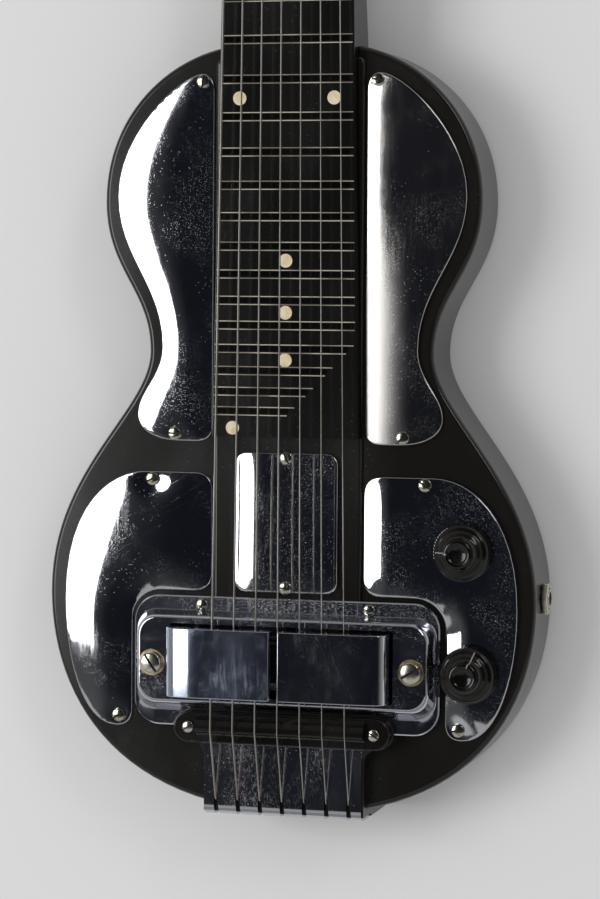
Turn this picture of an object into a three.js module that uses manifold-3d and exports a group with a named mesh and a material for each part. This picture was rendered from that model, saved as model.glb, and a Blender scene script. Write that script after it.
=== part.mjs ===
// A seven-string lap steel guitar with a moulded body and neck, chrome cover plates and a horseshoe
// magnet pickup. Millimetres, +Z out of the playing face, +Y towards the head, z = 0 the flat back,
// y = 0 the far end of the fret scale, x = 0 the centreline, treble side at +X.

import * as THREE from 'three';
import { mergeVertices } from 'three/addons/utils/BufferGeometryUtils.js';
import Module from 'manifold-3d';

const wasm = await Module();
wasm.setup();

// Clearances
const seat_gap = 0.25;
const run_gap = 0.3;
const overrun = 1.5;
const same_point = 0.0001;

// Strings
const string_diameters = [1.0, 0.9, 0.8, 0.7, 0.6, 0.5, 0.45];
const nut_spacing = 7.95;
const saddle_spacing = 10.6;
const tail_spacing = 10.55;
const scale_length = 571.5;

// Body
const body_depth = 41;
const lower_bout_half = 116;
const lower_bout_y = 65;
const waist_half = 67.5;
const waist_y = 178;
const upper_bout_half = 89.4;
const upper_bout_y = 247.7;
const joint_half = 33;
const joint_y = 317.8;
const joint_slope = 0.21;
const tail_y = -35.2;
const tail_reach = 87.7;
const lower_bout_low_reach = 47;
const lower_bout_high_reach = 57.5;
const waist_low_reach = 27.4;
const waist_high_reach = 28.6;
const upper_bout_low_reach = 32.9;
const upper_bout_high_reach = 38.4;
const joint_reach = 29.8;
const front_round = 2.5;
const back_round = 5;
const deck_neck_margin = 0.55;
const deck_rise = 2.2;
const deck_round = 1.6;
const deck_corner = 3;
const deck_joint_margin = 5;
const cavity_floor = 9;
const cavity_ledge = 4;
const boss_radius = 4;
const wire_way_reach = 18;
const wire_way_width = 6.2;

// Neck and fretboard
const fret_rise = 7.3;
const neck_depth = 31;
const neck_nut_width = 54.4;
const neck_end_width = 69.3;
const neck_end_margin = 11.57;
const neck_round = 9;
const heel_round = 4.5;
const pocket_run_out = 10;
const fret_count = 23;
const fret_ridge_height = 0.45;
const fret_ridge_base = 3.4;
const fret_ridge_top = 1.4;
const fret_side_margin = 0.9;
const last_fret_end = 2.8;
const diagonal_slope = 0.965;

// Headstock
const head_length = 132;
const head_half = 38;
const head_end_half = 35;
const head_flare = 22;
const head_corner = 11;
const head_thickness = 16;
const head_drop = 6.3;
const head_edge_round = 1.6;

// Side cover plates
const plate_thickness = 0.95;
const plate_roll = 2.4;
const plate_deck_gap = 0.8;
const plate_pan_gap = 2;
const plate_ledge_gap = 1.5;
const upper_plate_top_margin = 11.8;
const upper_plate_bottom = 136.6;
const upper_plate_margin = 6.5;
const upper_plate_shift = 2.2;
const upper_plate_lobe_reach = 5.3;
const upper_plate_lobe_rise = 12.4;
const upper_plate_corner = 8;
const upper_plate_foot = 16;
const upper_plate_nose = 6;
const lobe_curve_share = 0.6;
const lobe_out_reach = 10.4;
const hollow_in_reach = 13.6;
const lower_plate_top = 122.4;
const lower_plate_margin = 7.7;
const lower_plate_drop = 3;
const lower_plate_tip_y = 2.5;
const lower_plate_tip_radius = 8.2;
const tip_curve_share = 0.648;
const lower_plate_shoulder_share = 0.456;
const lower_plate_high_reach = 44.7;
const lower_plate_corner = 9;
const small_screw = { head: 3, rise: 1.3, shank: 1.25, length: 11, slot: 0.8, slot_depth: 0.7 };
const top_screw_inset = 5.3;
const lobe_screw_inset = 18.4;
const shoulder_screw_inset = 4;
const screw_edge = 3.55;
const tip_screw_inset = 1.7;
const tip_screw_rise = 5.1;

// Centre cover plate
const center_plate_half = 24.7;
const center_plate_pan_gap = 2.6;
const center_plate_neck_gap = 7.3;
const center_plate_corner = 4;
const center_plate_roll = 1.2;
const center_screw_edge = 2.55;
const center_pocket_ledge = 5.5;
const center_pocket_depth = 14;

// Pickup
const pan_half = 72.8;
const pan_bottom = 4.4;
const pan_top = 65;
const pan_corner = 12;
const pan_sheet = 1.2;
const pan_rim = 3.3;
const pan_rise = 12;
const pan_flange_side = 1.4;
const pan_flange_low = 7;
const pan_flange_high = 6.4;
const pan_slope_side = 3.8;
const pan_slope_low = 6.2;
const pan_slope_high = 3.6;
const pan_crown_corner = 8;
const pan_soften = 1.4;
const magnet_half = 52;
const magnet_width = 31.75;
const magnet_stock = 6.35;
const magnet_height = 38;
const magnet_rise = 25.5;
const magnet_bend = 5;
const magnet_gap = 4.2;
const pickup_y = 36.2;
const pan_hole_margin = 1;
const pickup_screw = { head: 5, rise: 1.9, shank: 2.6, length: 22, slot: 1.3, slot_depth: 1.1 };
const pickup_screw_inset = 6.1;
const pickup_screw_drop = 1.7;
const washer_radius = 6.15;
const washer_thickness = 0.9;
const pan_screw_x = 39.8;
const pan_screw_edge = 3.8;
const bobbin_half = 37;
const bobbin_width = 18;
const bobbin_flange = 1.6;
const bobbin_drop = 11.1;
const bobbin_core_half = 33.5;
const bobbin_core_width = 8;
const coil_width = 4;
const oval_share = 0.42;
const pole_radius = 2.4;
const pole_rise = 1;

// Bridge and tailpiece
const saddle_height = 8.4;
const saddle_y = 4.5;
const bridge_half = 40;
const bridge_front = 12.4;
const bridge_back = -2.2;
const bridge_ear_x = 44.1;
const bridge_ear_rise = 3.6;
const bridge_shelf_rise = 4;
const bridge_edge = 1.2;
const saddle_foot = 1.8;
const saddle_tip = 0.4;
const saddle_back = 2.4;
const bridge_screw = { head: 2.7, rise: 1.2, shank: 1.25, length: 14, slot: 0.8, slot_depth: 0.6 };
const tail_sheet = 1.4;
const tail_half = 37.5;
const tail_overhang = 0.8;
const tail_fold = 5;
const tail_lip_drop = 9;
const tail_block_rise = 5.9;
const tail_block_margin = 0.7;
const tail_slot_width = 2.1;
const tail_slot_length = 8.5;
const tail_slot_drop = 4;
const shoulder_low = -10;
const ball_radius = 2;
const ball_depth = 4.8;
const ball_rise = 0.6;

// Controls
const knob_pan_gap = 0.55;
const knob_steps_in = [3, 0];
const knob_y = [89.3, 33.8];
const knob_stand = 1.8;
const knob_skirt_radius = 13.15;
const knob_skirt_height = 7;
const knob_flutes = 24;
const knob_flute_depth = 0.5;
const knob_top_radius = 6.6;
const knob_height = 15.4;
const knob_edge = 1;
const knob_dish_radius = 4.1;
const knob_hollow_radius = 8.6;
const knob_hollow_height = 5.4;
const shaft_radius = 3;
const shaft_height = 12.6;
const shaft_depth = 9;
const pot_radius = 9.5;
const pot_height = 11;
const pot_bushing_radius = 4.6;
const pot_nut_radius = 6.6;
const pot_nut_height = 2;
const jack_lead = 2;
const jack_height = 12;
const jack_barrel_radius = 8;
const jack_barrel_length = 21;
const jack_bore_radius = 3.2;
const jack_bushing_radius = 4.7;
const jack_nut_radius = 8;
const jack_nut_height = 2.6;
const jack_nut_sides = 6;

// Nut
const nut_length = 5;
const nut_height = 9.7;
const nut_rise = 1.1;
const nut_slot_width = 1.7;

// Tuning machines
const gear_teeth = 14;
const gear_pitch_radius = 4.5;
const gear_thickness = 2.4;
const tooth_addendum = 0.6;
const tooth_dedendum = 0.8;
const tooth_root_width = 1.15;
const tooth_tip_width = 0.45;
const worm_pitch_radius = 2.6;
const worm_core_radius = 1.85;
const worm_length = 6.8;
const thread_root_width = 1.05;
const worm_shaft_radius = 1.5;
const post_radius = 3;
const hub_radius = 3.6;
const post_waist_radius = 2.5;
const post_rise = 13;
const post_waist_low = 5;
const post_waist_high = 10;
const machine_plate_thickness = 1.2;
const machine_plate_width = 20;
const machine_plate_margin = 12;
const lug_thickness = 1.6;
const lug_width = 6;
const lug_wall = 1.6;
const button_length = 14;
const button_width = 15;
const button_thickness = 6.4;
const button_clearance = 4;
const post_margin = 11.5;
const first_post = 35;
const post_pitch = 26;
const winding_turns = 2;
const winding_gap = 0.5;

// Facets
const fine = 18;
const middling = 12;
const coarse = 8;
const sparse = 6;
const curve_steps = 8;
const plate_steps = 6;
const corner_steps = 4;
const round_steps = 2;
const wire_facets = 5;

// Heights that follow from the sizes above
const deck_top = body_depth + deck_rise;
const plate_bottom = body_depth + seat_gap;
const plate_top = plate_bottom + plate_thickness;
const center_plate_base = deck_top + seat_gap;
const fret_plane = body_depth + fret_rise;
const neck_bottom = fret_plane - neck_depth;
const neck_pocket_floor = neck_bottom - seat_gap;
const head_top = fret_plane - head_drop;
const head_bottom = head_top - head_thickness;
const nut_floor = fret_plane + nut_height;
const center_pocket_floor = body_depth - center_pocket_depth;
const tail_block_top = body_depth + tail_block_rise;
const tail_lip_bottom = body_depth - tail_lip_drop;
const tail_slot_bottom = body_depth - tail_slot_drop;
const tail_sheet_bottom = tail_block_top + seat_gap;
const tail_sheet_top = tail_sheet_bottom + tail_sheet;
const ball_z = body_depth + ball_rise;
const bridge_base = tail_sheet_top + seat_gap;
const saddle_crest = bridge_base + saddle_height;
const pan_crown = body_depth + pan_rise;
const magnet_top = body_depth + magnet_rise;
const magnet_bottom = magnet_top - magnet_height;
const magnet_leg_top = magnet_bottom + magnet_stock;
const bobbin_top = magnet_top - bobbin_drop;
const pickup_floor = magnet_bottom - seat_gap;
const jack_z = cavity_floor + jack_height;

// Places that follow from the sizes above
const string_count = string_diameters.length;
const sides = { bass: -1, treble: 1 };
const last_fret_y = scale_length * 2 ** (-fret_count / 12);
const neck_end_y = last_fret_y - neck_end_margin;
const center_plate_bottom = pan_top + center_plate_pan_gap;
const center_plate_top = neck_end_y - center_plate_neck_gap;
const deck_half = neck_end_width / 2 + deck_neck_margin;
const plate_inner = deck_half + plate_deck_gap;
const upper_plate_top = joint_y - upper_plate_top_margin;
const upper_plate_lobe_half = waist_half + upper_plate_lobe_reach;
const upper_plate_lobe_y = upper_plate_bottom + upper_plate_lobe_rise;
const lower_plate_inner = pan_half + plate_pan_gap;
const lower_plate_half = lower_bout_half - lower_plate_margin;
const lower_plate_half_y = lower_bout_y - lower_plate_drop;
const lower_plate_tip_x = lower_plate_inner + lower_plate_tip_radius;
const lower_plate_shoulder = plate_inner + (lower_plate_half - plate_inner) * lower_plate_shoulder_share;
const pan_wall_half = pan_half - pan_flange_side;
const pan_wall_bottom = pan_bottom + pan_flange_low;
const pan_wall_top = pan_top - pan_flange_high;
const pan_crown_half = pan_wall_half - pan_slope_side;
const pan_crown_bottom = pan_wall_bottom + pan_slope_low;
const pan_crown_top = pan_wall_top - pan_slope_high;
const pan_screw_y = pan_top - pan_screw_edge;
const pickup_screw_x = pan_crown_half - pickup_screw_inset;
const pickup_screw_y = pickup_y - pickup_screw_drop;
const bridge_ear_radius = (bridge_front - bridge_back) / 2;
const bridge_middle_y = (bridge_front + bridge_back) / 2;
const tail_end = tail_y - tail_overhang;
const tail_slot_start = tail_end + tail_slot_length;
const ball_y = tail_end + ball_depth;
const knob_x = knob_steps_in.map((step) => pan_half + knob_pan_gap + knob_skirt_radius - step);
const jack_y = lower_bout_y + jack_lead;
const post_x = head_half - post_margin;
const upper_screws = [
  [plate_inner + top_screw_inset, upper_plate_top - screw_edge],
  [upper_plate_lobe_half - lobe_screw_inset, upper_plate_bottom + screw_edge],
];
const lower_screws = [
  [lower_plate_shoulder - shoulder_screw_inset, lower_plate_top - screw_edge],
  [lower_plate_tip_x - tip_screw_inset, lower_plate_tip_y + tip_screw_rise],
];
const center_screws = [
  [0, center_plate_top - center_screw_edge],
  [0, center_plate_bottom + center_screw_edge],
];
const pan_screws = [[-pan_screw_x, pan_screw_y], [pan_screw_x, pan_screw_y]];

// Materials
const black_moulding = new THREE.MeshStandardMaterial({ color: 0x14110f, roughness: 0.32, metalness: 0 });
const black_bakelite = new THREE.MeshStandardMaterial({ color: 0x191512, roughness: 0.38, metalness: 0 });
const chrome = new THREE.MeshStandardMaterial({ color: 0xc9ccd2, roughness: 0.08, metalness: 1 });
const nickel = new THREE.MeshStandardMaterial({ color: 0xb9ad94, roughness: 0.25, metalness: 1 });
const brass = new THREE.MeshStandardMaterial({ color: 0xa98f58, roughness: 0.3, metalness: 1 });
const steel = new THREE.MeshStandardMaterial({ color: 0xa9a9a6, roughness: 0.25, metalness: 1 });
const wire = new THREE.MeshStandardMaterial({ color: 0x7a3b1d, roughness: 0.5, metalness: 0.2 });
const ivory = new THREE.MeshStandardMaterial({ color: 0xd8cdb0, roughness: 0.4, metalness: 0 });

const guitar = new THREE.Group();

function add(name, part, material, place = [0, 0, 0]) {
  const geometry = geometryOf(part instanceof wasm.Manifold ? part : solid(part));
  geometry.computeVertexNormals();
  const mesh = new THREE.Mesh(geometry, material);
  mesh.name = name;
  mesh.position.set(...place);
  guitar.add(mesh);
  return mesh;
}

// Booleans work on closed meshes that share their vertices
function solid(geometry) {
  const bare = geometry.clone();
  bare.deleteAttribute('normal');
  bare.deleteAttribute('uv');
  const merged = mergeVertices(bare);
  const vertProperties = new Float32Array(merged.attributes.position.array);
  const triVerts = new Uint32Array(wholeTriangles(merged.index.array));
  return new wasm.Manifold(new wasm.Mesh({ numProp: 3, vertProperties, triVerts }));
}

// Drops the triangles that shrink to a line where a turned profile meets its axis
function wholeTriangles(index) {
  const kept = [];
  for (let i = 0; i < index.length; i += 3) {
    const [a, b, c] = index.slice(i, i + 3);
    if (a !== b && b !== c && c !== a) {
      kept.push(a, b, c);
    }
  }
  return kept;
}

function geometryOf(manifold) {
  const mesh = manifold.getMesh();
  const geometry = new THREE.BufferGeometry();
  geometry.setAttribute('position', new THREE.BufferAttribute(new Float32Array(mesh.vertProperties), 3));
  geometry.setIndex(new THREE.BufferAttribute(new Uint32Array(mesh.triVerts), 1));
  return geometry;
}

function cut(part, tools) {
  return tools.reduce((left, tool) => left.subtract(solid(tool)), part);
}

function join(part, others) {
  return others.reduce((sum, other) => sum.add(solid(other)), part);
}

// Outlines are counter-clockwise lists of points with no point twice
function outline(shape, steps) {
  const points = shape.getPoints(steps);
  const kept = points.filter((point, i) => point.distanceTo(points[(i + 1) % points.length]) > same_point);
  return THREE.ShapeUtils.isClockWise(kept) ? kept.reverse() : kept;
}

function inset(points, distance) {
  return points.map((point, i) => {
    const before = points[(i + points.length - 1) % points.length];
    const after = points[(i + 1) % points.length];
    const arriving = point.clone().sub(before).normalize();
    const leaving = after.clone().sub(point).normalize();
    const normal = new THREE.Vector2(-arriving.y - leaving.y, arriving.x + leaving.x).normalize();
    const squareness = normal.dot(new THREE.Vector2(-arriving.y, arriving.x));
    return point.clone().addScaledVector(normal, distance / squareness);
  });
}

function mirrored(points) {
  return points.map((point) => new THREE.Vector2(-point.x, point.y)).reverse();
}

// A half outline that ends on the centreline, with its mirror image
function bothHalves(half) {
  const right = half.getPoints(corner_steps);
  const whole = [...right, ...mirrored(right.slice(0, -1))];
  return whole.filter((point, i) => point.distanceTo(whole[(i + 1) % whole.length]) > same_point);
}

function onSide(points, side) {
  return side < 0 ? mirrored(points) : points;
}

function roundedBox(x0, x1, y0, y1, radius) {
  const shape = new THREE.Shape();
  shape.moveTo(x0 + radius, y0);
  shape.lineTo(x1 - radius, y0);
  shape.absarc(x1 - radius, y0 + radius, radius, -Math.PI / 2, 0);
  shape.lineTo(x1, y1 - radius);
  shape.absarc(x1 - radius, y1 - radius, radius, 0, Math.PI / 2);
  shape.lineTo(x0 + radius, y1);
  shape.absarc(x0 + radius, y1 - radius, radius, Math.PI / 2, Math.PI);
  shape.lineTo(x0, y0 + radius);
  shape.absarc(x0 + radius, y0 + radius, radius, Math.PI, Math.PI * 1.5);
  return outline(shape, corner_steps / 2);
}

// A closed skin through rings of equally many points; flatten turns a ring point into the cap's plane
function loft(sections, flatten) {
  const clockwise = THREE.ShapeUtils.isClockWise(sections[0].map(flatten));
  const rings = clockwise ? sections.map((ring) => [...ring].reverse()) : sections;
  const count = rings[0].length;
  const last = (rings.length - 1) * count;
  const index = [];
  for (let ring = 0; ring < last; ring += count) {
    for (let i = 0; i < count; i += 1) {
      const j = (i + 1) % count;
      index.push(ring + i, ring + j, ring + count + j, ring + i, ring + count + j, ring + count + i);
    }
  }
  for (const [a, b, c] of THREE.ShapeUtils.triangulateShape(rings[0].map(flatten), [])) {
    index.push(c, b, a);
  }
  for (const [a, b, c] of THREE.ShapeUtils.triangulateShape(rings.at(-1).map(flatten), [])) {
    index.push(last + a, last + b, last + c);
  }
  const geometry = new THREE.BufferGeometry();
  const points = rings.flat();
  geometry.setAttribute('position', new THREE.Float32BufferAttribute(points.flatMap((p) => p.toArray()), 3));
  geometry.setIndex(volumeOf(points, index) < 0 ? index.reverse() : index);
  return geometry;
}

function volumeOf(points, index) {
  let volume = 0;
  for (let i = 0; i < index.length; i += 3) {
    volume += points[index[i]].dot(points[index[i + 1]].clone().cross(points[index[i + 2]]));
  }
  return volume;
}

// Stacks outlines at heights: a rolled edge, a dished pan or a rounded body
function stack(layers) {
  const rings = layers.map(([points, z]) => points.map((point) => new THREE.Vector3(point.x, point.y, z)));
  return loft(rings, (point) => new THREE.Vector2(point.x, point.y));
}

function slab(points, low, high) {
  return stack([[points, low], [points, high]]);
}

function roundedSlab(points, low, high, round) {
  return stack([[points, low], [points, high - round], [inset(points, round), high]]);
}

function box(x0, x1, y0, y1, z0, z1) {
  const geometry = new THREE.BoxGeometry(x1 - x0, y1 - y0, z1 - z0);
  return geometry.translate((x0 + x1) / 2, (y0 + y1) / 2, (z0 + z1) / 2);
}

function pin(x, y, radius, low, high, facets = coarse) {
  const geometry = new THREE.CylinderGeometry(radius, radius, high - low, facets);
  return geometry.rotateX(Math.PI / 2).translate(x, y, (low + high) / 2);
}

function sidePin(y, z, radius, near, far, facets = coarse) {
  const geometry = new THREE.CylinderGeometry(radius, radius, far - near, facets);
  return geometry.rotateZ(Math.PI / 2).translate((near + far) / 2, y, z);
}

// A profile of (radius, z) points turned about the z axis
function turned(profile, facets) {
  const points = profile.map(([radius, z]) => new THREE.Vector2(radius, z));
  return new THREE.LatheGeometry(points, facets).rotateX(Math.PI / 2);
}

// A profile of (y, z) points drawn out along x
function drawn(profile, x0, x1) {
  const rings = [x0, x1].map((x) => profile.map(([y, z]) => new THREE.Vector3(x, y, z)));
  return loft(rings, (point) => new THREE.Vector2(point.y, point.z));
}

// A slotted screw that stands on its seat at z = 0
function screw({ head, rise, shank, length, slot, slot_depth }, turn) {
  const edge = rise / 2;
  const profile = [[0, -length], [shank, -length], [shank, 0], [head, 0], [head, edge], [head - edge, rise],
    [0, rise]];
  const groove = new THREE.BoxGeometry(slot, 2 * head, 2 * slot_depth).translate(0, 0, rise);
  return cut(solid(turned(profile, coarse)), [groove.rotateZ(turn)]);
}

// Body
function bodyOutline() {
  const knots = [
    { at: [0, tail_y], along: [1, 0], after: tail_reach },
    { at: [lower_bout_half, lower_bout_y], along: [0, 1], before: lower_bout_low_reach, after: lower_bout_high_reach },
    { at: [waist_half, waist_y], along: [0, 1], before: waist_low_reach, after: waist_high_reach },
    { at: [upper_bout_half, upper_bout_y], along: [0, 1], before: upper_bout_low_reach, after: upper_bout_high_reach },
    { at: [joint_half, joint_y], along: [-Math.cos(joint_slope), Math.sin(joint_slope)], before: joint_reach },
  ];
  const half = new THREE.Shape();
  half.moveTo(...knots[0].at);
  for (let k = 1; k < knots.length; k += 1) {
    const from = knots[k - 1];
    const to = knots[k];
    half.bezierCurveTo(
      from.at[0] + from.along[0] * from.after,
      from.at[1] + from.along[1] * from.after,
      to.at[0] - to.along[0] * to.before,
      to.at[1] - to.along[1] * to.before,
      ...to.at,
    );
  }
  const right = half.getPoints(curve_steps);
  return [...right, ...mirrored(right.slice(1))];
}

function roundedBody(points) {
  const layers = [];
  for (let k = 0; k <= round_steps; k += 1) {
    const angle = (k / round_steps) * (Math.PI / 2);
    layers.push([inset(points, back_round * (1 - Math.sin(angle))), back_round * (1 - Math.cos(angle))]);
  }
  for (let k = 0; k <= round_steps; k += 1) {
    const angle = (k / round_steps) * (Math.PI / 2);
    const z = body_depth - front_round * (1 - Math.sin(angle));
    layers.push([inset(points, front_round * (1 - Math.cos(angle))), z]);
  }
  return stack(layers);
}

function neckHalf(y) {
  const share = (y - neck_end_y) / (scale_length - neck_end_y);
  return (neck_end_width + (neck_nut_width - neck_end_width) * share) / 2;
}

function neckPocket() {
  const far = joint_y + pocket_run_out;
  const near = neck_end_y - seat_gap;
  const shape = new THREE.Shape();
  shape.moveTo(-neckHalf(near) - seat_gap, near);
  shape.lineTo(neckHalf(near) + seat_gap, near);
  shape.lineTo(neckHalf(far) + seat_gap, far);
  shape.lineTo(-neckHalf(far) - seat_gap, far);
  return slab(outline(shape, 1), neck_pocket_floor, fret_plane);
}

// The bridge and tailpiece stand on a raised block that widens into two ears under the bridge
function tailOutline(margin) {
  const half = tail_half + margin;
  const radius = bridge_ear_radius + margin;
  const shoulder = bridge_ear_x - half;
  const shape = new THREE.Shape();
  shape.moveTo(half, tail_end);
  shape.lineTo(half, shoulder_low);
  shape.quadraticCurveTo(half, bridge_middle_y - radius, half + shoulder, bridge_middle_y - radius);
  shape.absarc(bridge_ear_x, bridge_middle_y, radius, -Math.PI / 2, Math.PI / 2);
  shape.lineTo(0, bridge_middle_y + radius);
  return bothHalves(shape);
}

function tailBlock() {
  return solid(stack([
    [inset(tailOutline(tail_block_margin), back_round / 2), 0],
    [tailOutline(tail_block_margin), back_round],
    [tailOutline(tail_block_margin), tail_block_top],
  ]));
}

// Room for the tailpiece's lip and fold, and a trough for the ball ends behind the lip
function tailCuts() {
  const rebate_y = tail_end + tail_sheet + seat_gap;
  const rebate_z = tail_lip_bottom - seat_gap;
  const reach = tail_half + 2 * tail_block_margin;
  const trough_z = ball_z - ball_radius - seat_gap;
  const trough_y = ball_y + ball_radius + seat_gap;
  const trough_half = tail_half - ball_radius;
  return [
    box(-reach, reach, tail_end - overrun, rebate_y, rebate_z, tail_block_top + overrun),
    box(-trough_half, trough_half, tail_end - overrun, trough_y + ball_radius, trough_z, tail_block_top + overrun),
    drawn(foldProfile(tail_sheet + seat_gap), -reach, reach),
  ];
}

// The corner of the block that the tailpiece's fold wraps round
function foldProfile(depth) {
  const radius = tail_fold - depth;
  const points = [[tail_end - overrun, tail_sheet_top + overrun], [tail_end - overrun, tail_sheet_top - tail_fold]];
  for (let k = 0; k <= corner_steps; k += 1) {
    const angle = (k / corner_steps) * (Math.PI / 2);
    points.push([tail_end + tail_fold - radius * Math.cos(angle), tail_sheet_top - tail_fold + radius * Math.sin(angle)]);
  }
  points.push([tail_end + tail_fold, tail_sheet_top + overrun]);
  return points;
}

function cavity(points, ledge, floor, ceiling, bosses) {
  const hollow = solid(slab(inset(points, ledge), floor, ceiling));
  return cut(hollow, bosses.map(([x, y]) => pin(x, y, boss_radius, floor - overrun, ceiling + overrun)));
}

const screw_hole = small_screw.shank + seat_gap;

function screwHoles(places, low, high) {
  return places.map(([x, y]) => pin(x, y, screw_hole, low, high));
}

function upperPlateOutline() {
  const top = upper_plate_top;
  const corner = upper_plate_corner;
  const shoulder_x = upper_bout_half - upper_plate_margin;
  const shoulder_y = upper_bout_y + upper_plate_shift;
  const hollow_x = waist_half - upper_plate_margin;
  const hollow_y = waist_y + upper_plate_shift;
  const lobe_reach = upper_plate_lobe_rise * lobe_curve_share;
  const shape = new THREE.Shape();
  shape.moveTo(plate_inner, upper_plate_bottom + corner);
  shape.quadraticCurveTo(plate_inner, upper_plate_bottom, plate_inner + corner, upper_plate_bottom);
  shape.lineTo(plate_inner + upper_plate_foot, upper_plate_bottom);
  shape.bezierCurveTo(
    upper_plate_lobe_half - lobe_reach, upper_plate_bottom,
    upper_plate_lobe_half, upper_plate_lobe_y - lobe_reach,
    upper_plate_lobe_half, upper_plate_lobe_y,
  );
  shape.bezierCurveTo(
    upper_plate_lobe_half, upper_plate_lobe_y + lobe_out_reach,
    hollow_x, hollow_y - hollow_in_reach,
    hollow_x, hollow_y,
  );
  shape.bezierCurveTo(
    hollow_x, hollow_y + waist_high_reach,
    shoulder_x, shoulder_y - waist_high_reach,
    shoulder_x, shoulder_y,
  );
  shape.bezierCurveTo(
    shoulder_x, shoulder_y + joint_reach,
    plate_inner + upper_plate_foot, top,
    plate_inner + upper_plate_nose, top,
  );
  shape.quadraticCurveTo(plate_inner, top, plate_inner, top - corner);
  return outline(shape, plate_steps);
}

function lowerPlateOutline() {
  const corner = lower_plate_corner;
  const inner = lower_plate_inner;
  const arm_low = pan_top + plate_pan_gap;
  const bend = pan_corner + plate_pan_gap;
  const tip_radius = lower_plate_tip_radius;
  const shape = new THREE.Shape();
  shape.moveTo(plate_inner, arm_low + corner);
  shape.quadraticCurveTo(plate_inner, arm_low, plate_inner + corner, arm_low);
  shape.lineTo(inner - bend, arm_low);
  shape.absarc(inner - bend, arm_low - bend, bend, Math.PI / 2, 0, true);
  shape.lineTo(inner, lower_plate_tip_y + tip_radius);
  shape.quadraticCurveTo(inner, lower_plate_tip_y, lower_plate_tip_x, lower_plate_tip_y);
  shape.bezierCurveTo(
    lower_plate_tip_x + (lower_plate_half - lower_plate_tip_x) * tip_curve_share, lower_plate_tip_y,
    lower_plate_half, lower_plate_half_y - joint_reach,
    lower_plate_half, lower_plate_half_y,
  );
  shape.bezierCurveTo(
    lower_plate_half, lower_plate_half_y + lower_plate_high_reach,
    lower_plate_shoulder + 2 * tip_radius, lower_plate_top,
    lower_plate_shoulder, lower_plate_top,
  );
  shape.lineTo(plate_inner + corner, lower_plate_top);
  shape.quadraticCurveTo(plate_inner, lower_plate_top, plate_inner, lower_plate_top - corner);
  return outline(shape, plate_steps);
}

function panOutline(x_half, y0, y1, radius) {
  return roundedBox(-x_half, x_half, y0, y1, radius);
}

function centerPlateOutline(ledge = 0) {
  const half = center_plate_half - ledge;
  return roundedBox(-half, half, center_plate_bottom + ledge, center_plate_top - ledge, center_plate_corner);
}

function deckOutline() {
  return roundedBox(-deck_half, deck_half, bridge_middle_y, joint_y - deck_joint_margin, deck_corner);
}

function jackFace() {
  return lower_bout_half + seat_gap;
}

function jackShoulder() {
  return lower_plate_half - cavity_ledge - plate_ledge_gap;
}

function buildBody() {
  let body = solid(roundedBody(bodyOutline()));
  body = join(body, [roundedSlab(deckOutline(), cavity_floor, deck_top, deck_round)]);
  body = body.add(tailBlock());
  body = cut(body, [neckPocket(), ...tailCuts()]);
  const high = body_depth + overrun;
  for (const side of Object.values(sides)) {
    const upper = upper_screws.map(([x, y]) => [x * side, y]);
    const lower = lower_screws.map(([x, y]) => [x * side, y]);
    const upper_points = onSide(upperPlateOutline(), side);
    const lower_points = onSide(lowerPlateOutline(), side);
    body = body.subtract(cavity(upper_points, cavity_ledge, cavity_floor, high, upper));
    body = body.subtract(cavity(lower_points, cavity_ledge, cavity_floor, high, lower));
    body = cut(body, screwHoles([...upper, ...lower], body_depth - small_screw.length, high));
  }
  const wire_way_low = cavity_floor + wire_way_width;
  const wire_way = box(0, plate_inner + wire_way_reach, pan_top, pan_top + wire_way_width, wire_way_low, pickup_floor);
  const pickup_hole = panOutline(magnet_half + pan_hole_margin, pickup_y - magnet_width / 2 - pan_hole_margin,
    pickup_y + magnet_width / 2 + pan_hole_margin, pan_hole_margin);
  const ceiling = fret_plane + overrun;
  return cut(body, [
    slab(pickup_hole, pickup_floor, ceiling),
    slab(centerPlateOutline(center_pocket_ledge), center_pocket_floor, ceiling),
    ...screwHoles(center_screws, deck_top - small_screw.length, ceiling),
    ...screwHoles(pan_screws, deck_top - small_screw.length, ceiling),
    ...[-bridge_ear_x, bridge_ear_x].map((x) => pin(x, bridge_middle_y, screw_hole, body_depth - bridge_screw.length, ceiling)),
    ...[-pickup_screw_x, pickup_screw_x].map((x) => pin(x, pickup_screw_y, pickup_screw.shank + seat_gap,
      pan_crown - pickup_screw.length - overrun, ceiling)),
    ...knob_x.map((x, k) => pin(x, knob_y[k], pot_radius + 2 * run_gap, cavity_floor, ceiling, middling)),
    sidePin(jack_y, jack_z, jack_bushing_radius + seat_gap, jackShoulder() - overrun, lower_bout_half + overrun,
      middling),
    sidePin(jack_y, jack_z, jack_barrel_radius + run_gap, jackShoulder() - jack_barrel_length - run_gap,
      jackShoulder() + run_gap, middling),
  ]);
}

add('body', buildBody(), black_moulding);

// Neck, moulded in one piece with its fret ridges and its head
function neckSection(y, half, low, high, round) {
  const points = [[-half, high], [-half, low + round]];
  for (let k = 1; k <= corner_steps; k += 1) {
    const angle = (k / corner_steps) * (Math.PI / 2);
    points.push([-half + round * (1 - Math.cos(angle)), low + round * (1 - Math.sin(angle))]);
  }
  const left = points.map(([x, z]) => new THREE.Vector3(x, y, z));
  const right = points.map(([x, z]) => new THREE.Vector3(-x, y, z)).reverse();
  return [...left, ...right];
}

function headOutline() {
  const root = scale_length - nut_length;
  const end = scale_length + head_length;
  const half = neck_nut_width / 2;
  const shape = new THREE.Shape();
  shape.moveTo(half, root);
  shape.lineTo(half, scale_length + nut_length);
  shape.bezierCurveTo(
    half, scale_length + head_flare / 2,
    head_half, scale_length + head_flare / 2,
    head_half, scale_length + head_flare,
  );
  shape.lineTo(head_end_half, end - head_corner);
  shape.quadraticCurveTo(head_end_half, end, head_end_half - head_corner, end);
  shape.lineTo(0, end + head_edge_round);
  return bothHalves(shape);
}

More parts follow.
